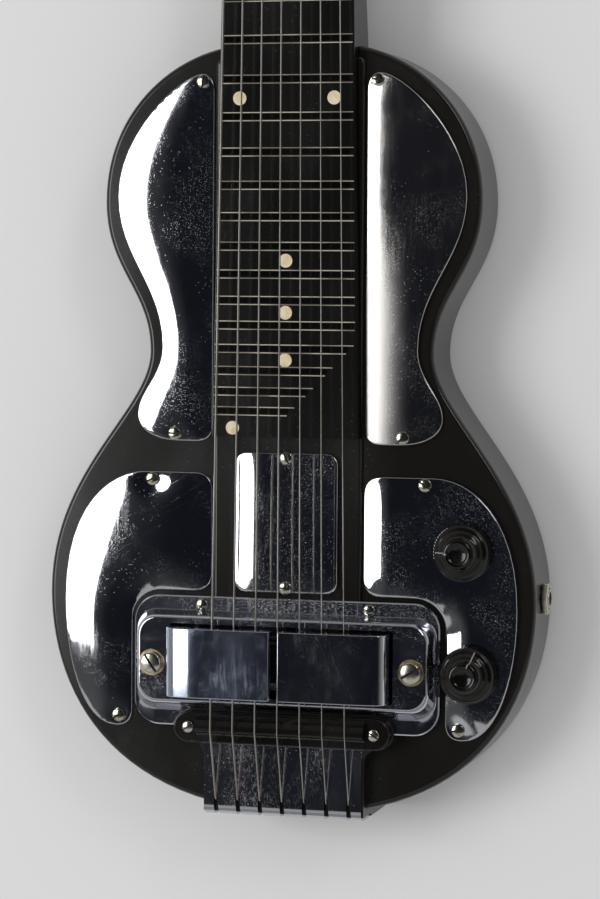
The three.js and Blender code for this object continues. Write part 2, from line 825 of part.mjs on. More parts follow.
// Bass posts and treble posts stand in two rows, the treble row half a pitch further up
function postPlace(i) {
  const bass_count = Math.ceil(string_count / 2);
  const side = i < bass_count ? sides.bass : sides.treble;
  const order = side < 0 ? i : string_count - 1 - i;
  const lead = side < 0 ? 0 : post_pitch / 2;
  return { side, x: side * post_x, y: scale_length + first_post + lead + order * post_pitch };
}

function fretRidge(number) {
  const y = scale_length * 2 ** (-number / 12);
  const left = -neckHalf(y) + fret_side_margin;
  const right = Math.min(neckHalf(y) - fret_side_margin, last_fret_end + (y - last_fret_y) * diagonal_slope);
  const profile = [
    [y - fret_ridge_base / 2, fret_plane - overrun],
    [y + fret_ridge_base / 2, fret_plane - overrun],
    [y + fret_ridge_base / 2, fret_plane],
    [y + fret_ridge_top / 2, fret_plane + fret_ridge_height],
    [y - fret_ridge_top / 2, fret_plane + fret_ridge_height],
    [y - fret_ridge_base / 2, fret_plane],
  ];
  return drawn(profile, left, right);
}

function buildNeck() {
  const nut_half = neck_nut_width / 2;
  const flat = (point) => new THREE.Vector2(point.x, point.z);
  const neck = solid(loft([
    neckSection(neck_end_y, neckHalf(neck_end_y), neck_bottom, fret_plane, heel_round),
    neckSection(joint_y, neckHalf(joint_y), neck_bottom, fret_plane, heel_round),
    neckSection(joint_y + neck_depth, neckHalf(joint_y + neck_depth), neck_bottom, fret_plane, neck_round),
    neckSection(scale_length, nut_half, neck_bottom, fret_plane, neck_round),
    neckSection(scale_length + nut_length, nut_half, neck_bottom, fret_plane, neck_round),
  ], flat));
  const volute = loft([
    neckSection(scale_length, nut_half - seat_gap, neck_bottom + seat_gap, head_top - seat_gap, neck_round),
    neckSection(scale_length + head_flare, nut_half - seat_gap, head_bottom + seat_gap, head_top - seat_gap, seat_gap),
  ], flat);
  const points = headOutline();
  const head = stack([
    [inset(points, head_edge_round), head_bottom],
    [points, head_bottom + head_edge_round],
    [points, head_top - head_edge_round],
    [inset(points, head_edge_round), head_top],
  ]);
  const frets = Array.from({ length: fret_count }, (_, i) => fretRidge(i + 1));
  const posts = string_diameters.map((_, i) => postPlace(i));
  const bores = posts.map(({ x, y }) => pin(x, y, post_radius + run_gap, head_bottom - overrun, head_top + overrun));
  return cut(join(neck, [volute, head, ...frets]), bores);
}

add('neck', buildNeck(), black_moulding);

// Strings spread evenly about the centreline
function spread(i, spacing) {
  return (i - (string_count - 1) / 2) * spacing;
}

function nutX(i) {
  return spread(i, nut_spacing);
}

function buildNut() {
  const low = fret_plane + seat_gap;
  const high = nut_floor + nut_rise;
  const near = scale_length;
  const far = scale_length + nut_length;
  const profile = [[near, low], [far, low], [far, high - nut_rise], [far - nut_rise, high], [near, high]];
  const block = solid(drawn(profile, -neck_nut_width / 2, neck_nut_width / 2));
  const slots = string_diameters.map((_, i) => box(nutX(i) - nut_slot_width / 2, nutX(i) + nut_slot_width / 2,
    near - overrun, far + overrun, nut_floor, high + overrun));
  return cut(block, slots);
}

add('nut', buildNut(), black_bakelite);

// Cover plates are pressed sheets with a rolled edge
function pressedPlate(points, roll, low) {
  const edge = plate_thickness / 3;
  return solid(stack([
    [points, low],
    [points, low + edge],
    [inset(points, roll / 3), low + 2 * edge],
    [inset(points, roll), low + plate_thickness],
  ]));
}

function platedHoles(plate, places, low) {
  return cut(plate, screwHoles(places, low - overrun, low + plate_thickness + overrun));
}

for (const [name, side] of Object.entries(sides)) {
  const upper = upper_screws.map(([x, y]) => [x * side, y]);
  const lower = lower_screws.map(([x, y]) => [x * side, y]);
  const upper_plate = pressedPlate(onSide(upperPlateOutline(), side), plate_roll, plate_bottom);
  add(`upper_plate_${name}`, platedHoles(upper_plate, upper, plate_bottom), chrome);
  const lower_plate = platedHoles(pressedPlate(onSide(lowerPlateOutline(), side), plate_roll, plate_bottom), lower,
    plate_bottom);
  if (side < 0) {
    add('lower_plate_bass', lower_plate, chrome);
  } else {
    const shaft_holes = knob_x.map((x, k) => pin(x, knob_y[k], pot_bushing_radius + seat_gap,
      plate_bottom - overrun, plate_top + overrun, middling));
    add('control_plate', cut(lower_plate, shaft_holes), chrome);
  }
  const labels = ['upper', 'lower'];
  [upper, lower].forEach((places, row) => places.forEach(([x, y], k) => {
    add(`plate_screw_${labels[row]}_${name}_${k + 1}`, screw(small_screw, x + y), nickel, [x, y, plate_top + seat_gap]);
  }));
}

const center_plate = pressedPlate(centerPlateOutline(), center_plate_roll, center_plate_base);
add('center_plate', platedHoles(center_plate, center_screws, center_plate_base), chrome);

// Pickup pan: a drawn sheet with a flange, a turned-down rim and a raised crown open to the magnets
function panLayers(wall) {
  const base = deck_top + seat_gap + wall;
  const flange = panOutline(pan_half - pan_sheet + wall, pan_bottom + pan_sheet - wall, pan_top - pan_sheet + wall,
    pan_corner - pan_sheet + wall);
  const foot = panOutline(pan_wall_half - pan_sheet + wall, pan_wall_bottom + pan_sheet - wall,
    pan_wall_top - pan_sheet + wall, pan_crown_corner);
  const brow = panOutline(pan_wall_half - pan_soften - pan_sheet + wall, pan_crown_bottom - pan_soften + pan_sheet - wall,
    pan_crown_top + pan_soften - pan_sheet + wall, pan_crown_corner);
  const crown = panOutline(pan_crown_half - pan_sheet + wall, pan_crown_bottom + pan_sheet - wall,
    pan_crown_top - pan_sheet + wall, pan_crown_corner);
  const rim = deck_top + seat_gap + pan_sheet - pan_rim - (wall > 0 ? 0 : overrun);
  const height = pan_crown - pan_sheet + wall;
  return [
    [flange, rim],
    [flange, base],
    [foot, base],
    [brow, height - pan_soften],
    [crown, height],
  ];
}

function buildPan() {
  const shell = solid(stack(panLayers(pan_sheet))).subtract(solid(stack(panLayers(0))));
  const margin = magnet_half + pan_hole_margin;
  return cut(shell, [
    box(-deck_half - run_gap, deck_half + run_gap, 0, pan_top + overrun, 0, deck_top + seat_gap),
    box(-margin, margin, pickup_y - magnet_width / 2 - pan_hole_margin, pickup_y + magnet_width / 2 + pan_hole_margin,
      pan_crown - 2 * pan_sheet, pan_crown + overrun),
    slab(tailOutline(tail_block_margin + run_gap), 0, saddle_crest),
    ...screwHoles(pan_screws, deck_top, deck_top + pan_rim),
    ...[-pickup_screw_x, pickup_screw_x].map((x) => pin(x, pickup_screw_y, pickup_screw.shank + seat_gap,
      pan_crown - 2 * pan_sheet, pan_crown + overrun)),
  ]);
}

add('pickup_pan', buildPan(), chrome);

// Each magnet is a flat bar bent to a U that opens towards the centre
function magnetShape() {
  const inner = magnet_bend - magnet_stock / 2;
  const end = magnet_gap / 2;
  const shape = new THREE.Shape();
  shape.moveTo(end, magnet_bottom);
  shape.lineTo(magnet_half - magnet_bend, magnet_bottom);
  shape.absarc(magnet_half - magnet_bend, magnet_bottom + magnet_bend, magnet_bend, -Math.PI / 2, 0);
  shape.lineTo(magnet_half, magnet_top - magnet_bend);
  shape.absarc(magnet_half - magnet_bend, magnet_top - magnet_bend, magnet_bend, 0, Math.PI / 2);
  shape.lineTo(end, magnet_top);
  shape.lineTo(end, magnet_top - magnet_stock);
  shape.lineTo(magnet_half - magnet_stock - inner, magnet_top - magnet_stock);
  shape.absarc(magnet_half - magnet_stock - inner, magnet_top - magnet_stock - inner, inner, Math.PI / 2, 0, true);
  shape.lineTo(magnet_half - magnet_stock, magnet_leg_top + inner);
  shape.absarc(magnet_half - magnet_stock - inner, magnet_leg_top + inner, inner, 0, -Math.PI / 2, true);
  shape.lineTo(end, magnet_leg_top);
  return outline(shape, round_steps);
}

for (const [name, side] of Object.entries(sides)) {
  const profile = onSide(magnetShape(), side);
  const ends = [pickup_y - magnet_width / 2, pickup_y + magnet_width / 2];
  const rings = ends.map((y) => profile.map((point) => new THREE.Vector3(point.x, y, point.y)));
  add(`magnet_${name}`, loft(rings, (point) => new THREE.Vector2(point.x, point.z)), chrome);
}

// Bobbin with its pole pieces, standing on the magnets' lower legs, and the coil wound round its core
function poleX(i) {
  const share = (pickup_y - saddle_y) / (scale_length - saddle_y);
  return spread(i, saddle_spacing + (nut_spacing - saddle_spacing) * share);
}

function oval(half, width) {
  return roundedBox(-half, half, pickup_y - width / 2, pickup_y + width / 2, width * oval_share);
}

function buildBobbin() {
  const low = magnet_leg_top + seat_gap;
  const core = solid(slab(oval(bobbin_core_half, bobbin_core_width), low, bobbin_top));
  const flanges = [slab(oval(bobbin_half, bobbin_width), low, low + bobbin_flange),
    slab(oval(bobbin_half, bobbin_width), bobbin_top - bobbin_flange, bobbin_top)];
  const poles = string_diameters.map((_, i) => pin(poleX(i), pickup_y, pole_radius, low + bobbin_flange,
    bobbin_top + pole_rise));
  return join(core, [...flanges, ...poles]);
}

function buildCoil() {
  const low = magnet_leg_top + bobbin_flange + 2 * seat_gap;
  const high = bobbin_top - bobbin_flange - seat_gap;
  const reach = 2 * coil_width;
  const winding = solid(slab(oval(bobbin_core_half + coil_width, bobbin_core_width + reach), low, high));
  return cut(winding, [slab(oval(bobbin_core_half + seat_gap, bobbin_core_width + 2 * seat_gap), low - overrun,
    high + overrun)]);
}

add('pickup_bobbin', buildBobbin(), black_bakelite);
add('pickup_coil', buildCoil(), wire);

const screw_turns = { bass: 0.96, treble: -0.52 };
for (const [name, side] of Object.entries(sides)) {
  const seat = pan_crown + seat_gap;
  const ring = [[pickup_screw.shank + seat_gap, 0], [washer_radius, 0], [washer_radius, washer_thickness],
    [pickup_screw.shank + seat_gap, washer_thickness], [pickup_screw.shank + seat_gap, 0]];
  add(`pickup_washer_${name}`, turned(ring, middling), brass, [side * pickup_screw_x, pickup_screw_y, seat]);
  add(`pickup_screw_${name}`, screw(pickup_screw, screw_turns[name]), brass,
    [side * pickup_screw_x, pickup_screw_y, seat + washer_thickness + seat_gap]);
}

// Tailpiece: a sheet that lies on the block, folds over the tail and is slotted for the strings
function buildTailpiece() {
  const inner = tail_fold - tail_sheet;
  const top = tail_sheet_top;
  const profile = [[tail_end, tail_lip_bottom]];
  for (let k = 0; k <= corner_steps; k += 1) {
    const angle = (k / corner_steps) * (Math.PI / 2);
    profile.push([tail_end + tail_fold * (1 - Math.cos(angle)), top - tail_fold * (1 - Math.sin(angle))]);
  }
  profile.push([shoulder_low, top]);
  profile.push([shoulder_low, top - tail_sheet]);
  for (let k = corner_steps; k >= 0; k -= 1) {
    const angle = (k / corner_steps) * (Math.PI / 2);
    profile.push([tail_end + tail_fold - inner * Math.cos(angle), top - tail_fold + inner * Math.sin(angle)]);
  }
  profile.push([tail_end + tail_sheet, tail_lip_bottom]);
  const folded = solid(drawn(profile, -tail_half, tail_half));
  const bed = cut(solid(slab(tailOutline(0), tail_sheet_bottom, top)), [
    box(-2 * tail_half, 2 * tail_half, tail_end - overrun, shoulder_low - overrun, 0, saddle_crest)]);
  const slots = string_diameters.map((_, i) => box(spread(i, tail_spacing) - tail_slot_width / 2,
    spread(i, tail_spacing) + tail_slot_width / 2, tail_end - overrun, tail_slot_start, tail_slot_bottom, top + overrun));
  const holes = [-bridge_ear_x, bridge_ear_x].map((x) => pin(x, bridge_middle_y, screw_hole, tail_sheet_bottom - overrun,
    top + overrun));
  return cut(folded.add(bed), [...slots, ...holes]);
}

add('tailpiece', buildTailpiece(), chrome);

// Bridge: a moulded bar with an integral saddle crest and two screwed-down ears
function bridgeProfile() {
  const shelf = bridge_base + bridge_shelf_rise;
  return [
    [bridge_back, bridge_base],
    [bridge_back, shelf - bridge_edge],
    [bridge_back + bridge_edge, shelf],
    [saddle_y - saddle_foot, shelf],
    [saddle_y - bridge_edge, saddle_crest - bridge_edge],
    [saddle_y - saddle_tip, saddle_crest],
    [saddle_y + saddle_tip, saddle_crest],
    [saddle_y + saddle_back, saddle_crest - bridge_edge / 2],
    [bridge_front - saddle_back, shelf + bridge_edge],
    [bridge_front, shelf - bridge_edge],
    [bridge_front, bridge_base],
  ];
}

function buildBridge() {
  const bar = solid(drawn(bridgeProfile(), -bridge_half, bridge_half));
  const radius = bridge_ear_radius;
  const x = bridge_ear_x + radius;
  const foot = roundedBox(-x, x, bridge_back, bridge_front, radius - seat_gap);
  const ears = roundedSlab(foot, bridge_base, bridge_base + bridge_ear_rise, bridge_edge);
  const holes = [-bridge_ear_x, bridge_ear_x].map((place) => pin(place, bridge_middle_y, screw_hole,
    bridge_base - overrun, bridge_base + bridge_ear_rise + overrun));
  return cut(join(bar, [ears]), holes);
}

add('bridge', buildBridge(), black_bakelite);
for (const [name, side] of Object.entries(sides)) {
  add(`bridge_screw_${name}`, screw(bridge_screw, side), nickel,
    [side * bridge_ear_x, bridge_middle_y, bridge_base + bridge_ear_rise + seat_gap]);
}

// Controls: fluted knobs on the shafts of two pots that hang from the control plate
function flutedRing(radius, depth, count) {
  const points = [];
  for (let i = 0; i < 2 * count; i += 1) {
    const angle = (i / (2 * count)) * 2 * Math.PI;
    const reach = i % 2 ? radius : radius - depth;
    points.push(new THREE.Vector2(reach * Math.cos(angle), reach * Math.sin(angle)));
  }
  return points;
}

function buildKnob() {
  const bore = shaft_radius + seat_gap;
  const skirt = knob_skirt_radius - 2 * knob_flute_depth;
  const shoulder = knob_skirt_height + knob_flute_depth;
  const waist = (knob_skirt_radius + knob_top_radius) / 2;
  const dish = knob_dish_radius;
  const edge = knob_edge;
  const cap = turned([
    [0, shaft_height + seat_gap],
    [bore, shaft_height + seat_gap],
    [bore, knob_hollow_height],
    [knob_hollow_radius, knob_hollow_height],
    [knob_hollow_radius, 0],
    [skirt, 0],
    [skirt, shoulder],
    [waist, shoulder + edge],
    [waist - edge, shoulder + 2 * edge],
    [knob_top_radius, shoulder + 3 * edge],
    [knob_top_radius, knob_height - edge],
    [knob_top_radius - edge, knob_height],
    [dish, knob_height],
    [dish - edge, knob_height - edge],
    [0, knob_height - edge],
  ], fine);
  const ring = flutedRing(knob_skirt_radius, knob_flute_depth, knob_flutes);
  const skirt_solid = cut(solid(roundedSlab(ring, 0, knob_skirt_height, knob_flute_depth)), [
    pin(0, 0, (skirt + knob_hollow_radius) / 2, -overrun, knob_skirt_height + overrun, fine)]);
  return solid(cap).add(skirt_solid);
}

function buildPot() {
  const bush = pot_bushing_radius;
  const lift = plate_thickness + 2 * seat_gap;
  return turned([
    [0, -pot_height],
    [pot_radius, -pot_height],
    [pot_radius, 0],
    [bush, 0],
    [bush, lift],
    [pot_nut_radius, lift],
    [pot_nut_radius, lift + pot_nut_height],
    [bush, lift + pot_nut_height],
    [bush, lift + 2 * pot_nut_height],
    [shaft_radius + seat_gap, lift + 2 * pot_nut_height],
    [shaft_radius + seat_gap, -shaft_depth - seat_gap],
    [0, -shaft_depth - seat_gap],
  ], middling);
}

['volume', 'tone'].forEach((name, k) => {
  const place = [knob_x[k], knob_y[k]];
  const pot_seat = plate_bottom - seat_gap;
  const knob_seat = plate_top + knob_stand;
  add(`${name}_knob`, buildKnob(), black_bakelite, [...place, knob_seat]);
  add(`${name}_shaft`, pin(0, 0, shaft_radius, pot_seat - shaft_depth, knob_seat + shaft_height, middling), steel,
    [...place, 0]);
  add(`${name}_pot`, buildPot(), steel, [...place, pot_seat]);
});

// Output socket: a bored barrel behind the treble wall, held by a nut outside it
function buildJack() {
  const shoulder = jackShoulder();
  const nut_end = jackFace() + jack_nut_height;
  const barrel = solid(sidePin(jack_y, jack_z, jack_barrel_radius, shoulder - jack_barrel_length, shoulder, middling));
  const bush = sidePin(jack_y, jack_z, jack_bushing_radius, shoulder - overrun, nut_end + seat_gap, middling);
  const bore = sidePin(jack_y, jack_z, jack_bore_radius, shoulder - jack_barrel_length + overrun, nut_end + overrun,
    middling);
  return cut(join(barrel, [bush]), [bore]);
}

function buildJackNut() {
  const nut = solid(sidePin(jack_y, jack_z, jack_nut_radius, jackFace(), jackFace() + jack_nut_height,
    jack_nut_sides));
  return cut(nut, [sidePin(jack_y, jack_z, jack_bushing_radius + seat_gap, jackFace() - overrun,
    jackFace() + jack_nut_height + overrun, middling)]);
}

add('output_jack', buildJack(), nickel);
add('output_jack_nut', buildJackNut(), nickel);

// Tuning machines: a worm on each button's shaft turns the gear under its string post
function gearOutline() {
  const root = gear_pitch_radius - tooth_dedendum;
  const tip = gear_pitch_radius + tooth_addendum;
  const points = [];
  for (let tooth = 0; tooth < gear_teeth; tooth += 1) {
    const middle = ((tooth + 0.5) / gear_teeth) * 2 * Math.PI - Math.PI / 2;
    for (const [radius, width] of [[root, -tooth_root_width], [tip, -tooth_tip_width], [tip, tooth_tip_width],
      [root, tooth_root_width]]) {
      const angle = middle + width / 2 / radius;
      points.push(new THREE.Vector2(radius * Math.cos(angle), radius * Math.sin(angle)));
    }
  }
  return points;
}

const machine_plate_top = head_bottom - seat_gap;
const machine_plate_bottom = machine_plate_top - machine_plate_thickness;
const hub_top = machine_plate_bottom - run_gap;
const gear_middle = hub_top - worm_pitch_radius - tooth_addendum;
const worm_offset = gear_pitch_radius + worm_pitch_radius;

function buildGear() {
  const top = head_top + post_rise;
  const post = turned([
    [0, gear_middle],
    [hub_radius, gear_middle],
    [hub_radius, hub_top],
    [post_radius, hub_top],
    [post_radius, head_top + post_waist_low],
    [post_waist_radius, head_top + post_waist_low + seat_gap],
    [post_waist_radius, head_top + post_waist_high],
    [post_radius, head_top + post_waist_high + seat_gap],
    [post_radius, top],
    [0, top],
  ], coarse);
  const wheel = slab(gearOutline(), gear_middle - gear_thickness / 2, gear_middle + gear_thickness / 2);
  return solid(wheel).add(solid(post));
}

// A right-handed thread, one flank per section, whose crest passes the gear's gap at mid length
function wormThread() {
  const pitch = (2 * Math.PI * gear_pitch_radius) / gear_teeth;
  const turns = (worm_length - thread_root_width) / pitch;
  const half_steps = Math.floor((turns * sparse) / 2);
  const foot = worm_core_radius - run_gap;
  const tip = worm_pitch_radius + tooth_addendum;
  const rings = [];
  for (let step = -half_steps; step <= half_steps; step += 1) {
    const turn = step / sparse;
    const angle = turn * 2 * Math.PI;
    const section = [[-thread_root_width, foot], [thread_root_width, foot], [0, tip]];
    rings.push(section.map(([width, radius]) => new THREE.Vector3(turn * pitch + width / 2,
      radius * Math.cos(angle), radius * Math.sin(angle))));
  }
  const cap = (point) => new THREE.Vector2(point.x, Math.hypot(point.y, point.z));
  return loft(rings, cap);
}

function buildWorm() {
  const core = solid(sidePin(0, 0, worm_core_radius, -worm_length / 2, worm_length / 2, sparse));
  const inner_end = -worm_length / 2 - run_gap - lug_thickness - run_gap;
  const button_start = head_half - post_x + button_clearance;
  const shaft = sidePin(0, 0, worm_shaft_radius, inner_end, button_start + button_length / 2, sparse);
  const button = new THREE.SphereGeometry(1, coarse, coarse / 2);
  button.scale(button_length / 2, button_width / 2, button_thickness / 2);
  button.translate(button_start + button_length / 2, 0, 0);
  return join(core, [wormThread(), shaft, button]);
}

function buildMachinePlate(side) {
  const posts = string_diameters.map((_, i) => postPlace(i)).filter((post) => post.side === side);
  const first = posts.map(({ y }) => y).reduce((a, b) => Math.min(a, b)) - machine_plate_margin;
  const last = posts.map(({ y }) => y).reduce((a, b) => Math.max(a, b)) + machine_plate_margin;
  const x = side * post_x;
  const half = machine_plate_width / 2;
  const strip = slab(roundedBox(x - half, x + half, first, last, machine_plate_thickness), machine_plate_bottom,
    machine_plate_top);
  const lugs = [];
  const bores = posts.map((post) => pin(post.x, post.y, post_radius + run_gap, machine_plate_bottom - overrun,
    machine_plate_top + overrun));
  for (const post of posts) {
    const y = post.y - worm_offset;
    const low = gear_middle - worm_shaft_radius - lug_wall;
    for (const end of Object.values(sides)) {
      const near = post.x + end * (worm_length / 2 + run_gap);
      const far = near + end * lug_thickness;
      lugs.push(box(Math.min(near, far), Math.max(near, far), y - lug_width / 2, y + lug_width / 2, low,
        machine_plate_bottom + machine_plate_thickness / 2));
    }
    const reach = worm_length / 2 + 2 * run_gap + lug_thickness + overrun;
    bores.push(sidePin(y, gear_middle, worm_shaft_radius + run_gap, post.x - reach, post.x + reach));
  }
  return cut(join(solid(strip), lugs), bores);
}

for (const [name, side] of Object.entries(sides)) {
  add(`tuner_plate_${name}`, buildMachinePlate(side), nickel);
}
string_diameters.forEach((_, i) => {
  const post = postPlace(i);
  add(`tuner_gear_${i + 1}`, buildGear(), nickel, [post.x, post.y, 0]);
  const worm = add(`tuner_worm_${i + 1}`, buildWorm(), ivory, [post.x, post.y - worm_offset, gear_middle]);
  worm.rotation.y = post.side < 0 ? Math.PI : 0;
});

// Strings run from a ball under the tailpiece over the saddle and nut to two turns on the post
class Route extends THREE.Curve {
  constructor(points) {
    super();
    this.points = points;
  }

  // One ring falls on each point, however far apart the points lie
  getUtoTmapping(share) {
    return share;
  }

  getPoint(share, target = new THREE.Vector3()) {
    const place = share * (this.points.length - 1);
    const k = Math.min(Math.floor(place), this.points.length - 2);
    return target.lerpVectors(this.points[k], this.points[k + 1], place - k);
  }
}

function tube(points, radius) {
  const ring = Array.from({ length: wire_facets }, (_, k) => {
    const angle = (k / wire_facets) * 2 * Math.PI;
    return new THREE.Vector2(radius * Math.cos(angle), radius * Math.sin(angle));
  });
  const extrudePath = new Route(points);
  return new THREE.ExtrudeGeometry(new THREE.Shape(ring), { steps: points.length - 1, extrudePath, bevelEnabled: false });
}

function buildString(i) {
  const radius = string_diameters[i] / 2;
  const post = postPlace(i);
  const tail_x = spread(i, tail_spacing);
  const wrap = post_radius + run_gap + radius;
  const pitch = string_diameters[i] + winding_gap;
  const low = head_top + post_waist_low;
  const points = [
    new THREE.Vector3(tail_x, ball_y, ball_z),
    new THREE.Vector3(tail_x, tail_slot_start - radius - seat_gap, tail_sheet_top + radius),
    new THREE.Vector3(spread(i, saddle_spacing), saddle_y, saddle_crest + seat_gap + radius),
    new THREE.Vector3(nutX(i), scale_length + nut_length, nut_floor + seat_gap + radius),
  ];
  const start = post.side < 0 ? 0 : Math.PI;
  for (let step = 0; step <= winding_turns * coarse; step += 1) {
    const angle = start - post.side * (step / coarse) * 2 * Math.PI;
    points.push(new THREE.Vector3(post.x + wrap * Math.cos(angle), post.y + wrap * Math.sin(angle),
      low + (step / coarse) * pitch));
  }
  const ball = sidePin(ball_y, ball_z, ball_radius, tail_x - ball_radius, tail_x + ball_radius);
  return join(solid(tube(points, radius)), [ball]);
}

string_diameters.forEach((_, i) => add(`string_${i + 1}`, buildString(i), steel));

export default guitar;
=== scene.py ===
import math

import bmesh
import bpy
from mathutils import Matrix, Vector
from mathutils.geometry import delaunay_2d_cdt, interpolate_bezier


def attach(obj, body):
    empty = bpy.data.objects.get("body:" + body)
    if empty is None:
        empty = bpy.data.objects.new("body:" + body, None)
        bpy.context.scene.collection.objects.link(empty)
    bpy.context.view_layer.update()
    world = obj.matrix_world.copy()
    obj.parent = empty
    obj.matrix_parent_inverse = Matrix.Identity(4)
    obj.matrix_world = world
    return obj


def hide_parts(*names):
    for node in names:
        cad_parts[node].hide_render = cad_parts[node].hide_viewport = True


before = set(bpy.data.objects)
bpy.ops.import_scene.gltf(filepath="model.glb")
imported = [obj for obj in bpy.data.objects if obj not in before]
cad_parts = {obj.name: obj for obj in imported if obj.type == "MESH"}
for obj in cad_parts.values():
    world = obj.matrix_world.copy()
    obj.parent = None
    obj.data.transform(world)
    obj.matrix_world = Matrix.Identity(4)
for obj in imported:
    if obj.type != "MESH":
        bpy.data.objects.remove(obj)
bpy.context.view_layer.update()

# Studio. The guitar lies on a pale table, seen from above the treble side. One large softbox hangs to
# the left, a small strip behind to the right, and the ceiling straight above is dark, which is what the
# polished metal shows.
scene = bpy.context.scene
scene.view_settings.view_transform = "Standard"

camera_place = Vector((0.36381, 0.21191, 1.35831))
camera_right = Vector((0.9648, 0.00718, -0.2629))
camera_up = Vector((-0.02192, 0.99834, -0.05319))
camera_back = Vector((0.26208, 0.05708, 0.96336))
camera_data = bpy.data.cameras.new("photo_camera")
camera_data.lens = 119.25
camera_data.sensor_fit = "VERTICAL"
camera_data.sensor_height = 36
camera_data.clip_start = 0.01
camera_data.clip_end = 100
camera = bpy.data.objects.new("photo_camera", camera_data)
turn = Matrix((camera_right, camera_up, camera_back)).transposed().to_4x4()
camera.matrix_world = Matrix.Translation(camera_place) @ turn
scene.collection.objects.link(camera)
scene.camera = camera


def softbox(name, place, aim, width, height, watts):
    """A rectangular area lamp at a place, facing a point, its height along the guitar."""
    lamp = bpy.data.lights.new(name, "AREA")
    lamp.shape = "RECTANGLE"
    lamp.size = width
    lamp.size_y = height
    lamp.energy = watts
    box = bpy.data.objects.new(name, lamp)
    back = (Vector(place) - Vector(aim)).normalized()
    side = Vector((0, 1, 0)).cross(back).normalized()
    facing = Matrix((side, back.cross(side), back)).transposed().to_4x4()
    box.matrix_world = Matrix.Translation(place) @ facing
    scene.collection.objects.link(box)


softbox("softbox_left", (-1.43, 0.27, 1.95), (0, 0.15, 0.04), 1.16, 1.14, 19)
softbox("strip_right", (1.3, 1.5, 1.7), (0, 0.15, 0.04), 0.35, 1.0, 5)


class Field:
    """A shader value that Python's own operators work on."""

    def __init__(self, nodes, socket):
        self.nodes = nodes
        self.socket = socket

    def combine(self, operation, *values):
        """A math node on fields and numbers."""
        return self.nodes.node("Math", dict(enumerate(values)), operation=operation)

    def __add__(self, other):
        return self.combine("ADD", self, other)

    def __sub__(self, other):
        return self.combine("SUBTRACT", self, other)

    def __rsub__(self, other):
        return self.combine("SUBTRACT", other, self)

    def __mul__(self, other):
        return self.combine("MULTIPLY", self, other)

    def __abs__(self):
        return self.combine("ABSOLUTE", self)

    def most(self, other):
        return self.combine("MAXIMUM", self, other)

    def rise(self, low, high):
        """0 below low, 1 above high and a smooth step between them."""
        ends = {0: self, 1: low, 2: high}
        return self.nodes.node("MapRange", ends, interpolation_type="SMOOTHSTEP")

    __radd__ = __add__
    __rmul__ = __mul__


class Nodes:
    """The nodes of one material or of the world."""

    def __init__(self, tree):
        self.tree = tree

    def node(self, kind, inputs=None, output=0, **settings):
        """Adds a node, sets or links its inputs and gives one of its outputs."""
        made = self.tree.nodes.new("ShaderNode" + kind)
        for name, value in settings.items():
            setattr(made, name, value)
        for name, value in (inputs or {}).items():
            self.put(made.inputs[name], value)
        return Field(self, made.outputs[output])

    def put(self, socket, value):
        """Links a field to a socket, or sets the socket to a plain value."""
        if isinstance(value, Field):
            self.tree.links.new(value.socket, socket)
        else:
            socket.default_value = value

    def mix(self, share, first, second):
        """The first colour where the share is 0, the second where it is 1."""
        colors = {0: share, 6: first, 7: second}
        return self.node("Mix", colors, output=2, data_type="RGBA", clamp_factor=True)

    def place(self, stretch=(1, 1, 1), turned=(0, 0, 0)):
        """Object coordinates in metres, turned and stretched for a pattern."""
        here = self.node("TexCoord", output=3)
        spun = self.node("VectorRotate", {"Vector": here, "Rotation": turned}, rotation_type="EULER_XYZ")
        return self.node("VectorMath", {0: spun, 1: stretch}, operation="MULTIPLY")

    def noise(self, scale, detail=2, stretch=(1, 1, 1), turned=(0, 0, 0)):
        """Soft clouds around 0.5."""
        values = {"Vector": self.place(stretch, turned), "Scale": scale, "Detail": detail}
        return self.node("TexNoise", values)

    def axis(self, index, output=3):
        """One coordinate: the object's own in metres, or with output 0 the direction looked in."""
        here = self.node("TexCoord", output=output)
        return self.node("SeparateXYZ", {0: here}, output=index)

    def specks(self, scale, size):
        """Scattered small spots, 1 in each spot and 0 between them."""
        values = {"Vector": self.place(), "Scale": scale, "Randomness": 1}
        return 1 - self.node("TexVoronoi", values).rise(size * 0.6, size)

    def hairs(self, scale, turned, thin):
        """Long fine scratches in one direction, 1 on each scratch."""
        waves = self.noise(scale, 1, (1, 14, 1), (0, 0, turned))
        kept = self.noise(scale * 0.6, 1, (1, 2, 1), (0.3, 0.2, turned)).rise(0.53, 0.58)
        return (1 - abs(waves - 0.5).rise(0.0, thin)) * kept


world = bpy.data.worlds.new("studio")
scene.world = world
world.use_nodes = True
sky = Nodes(world.node_tree)
world.node_tree.nodes.clear()
fill_light = (0.56, 0.56, 0.57, 1)
pale_backdrop = (0.82, 0.82, 0.81, 1)
ceiling_dark = (0.008, 0.009, 0.013, 1)
wall_grey = (0.3, 0.29, 0.27, 1)

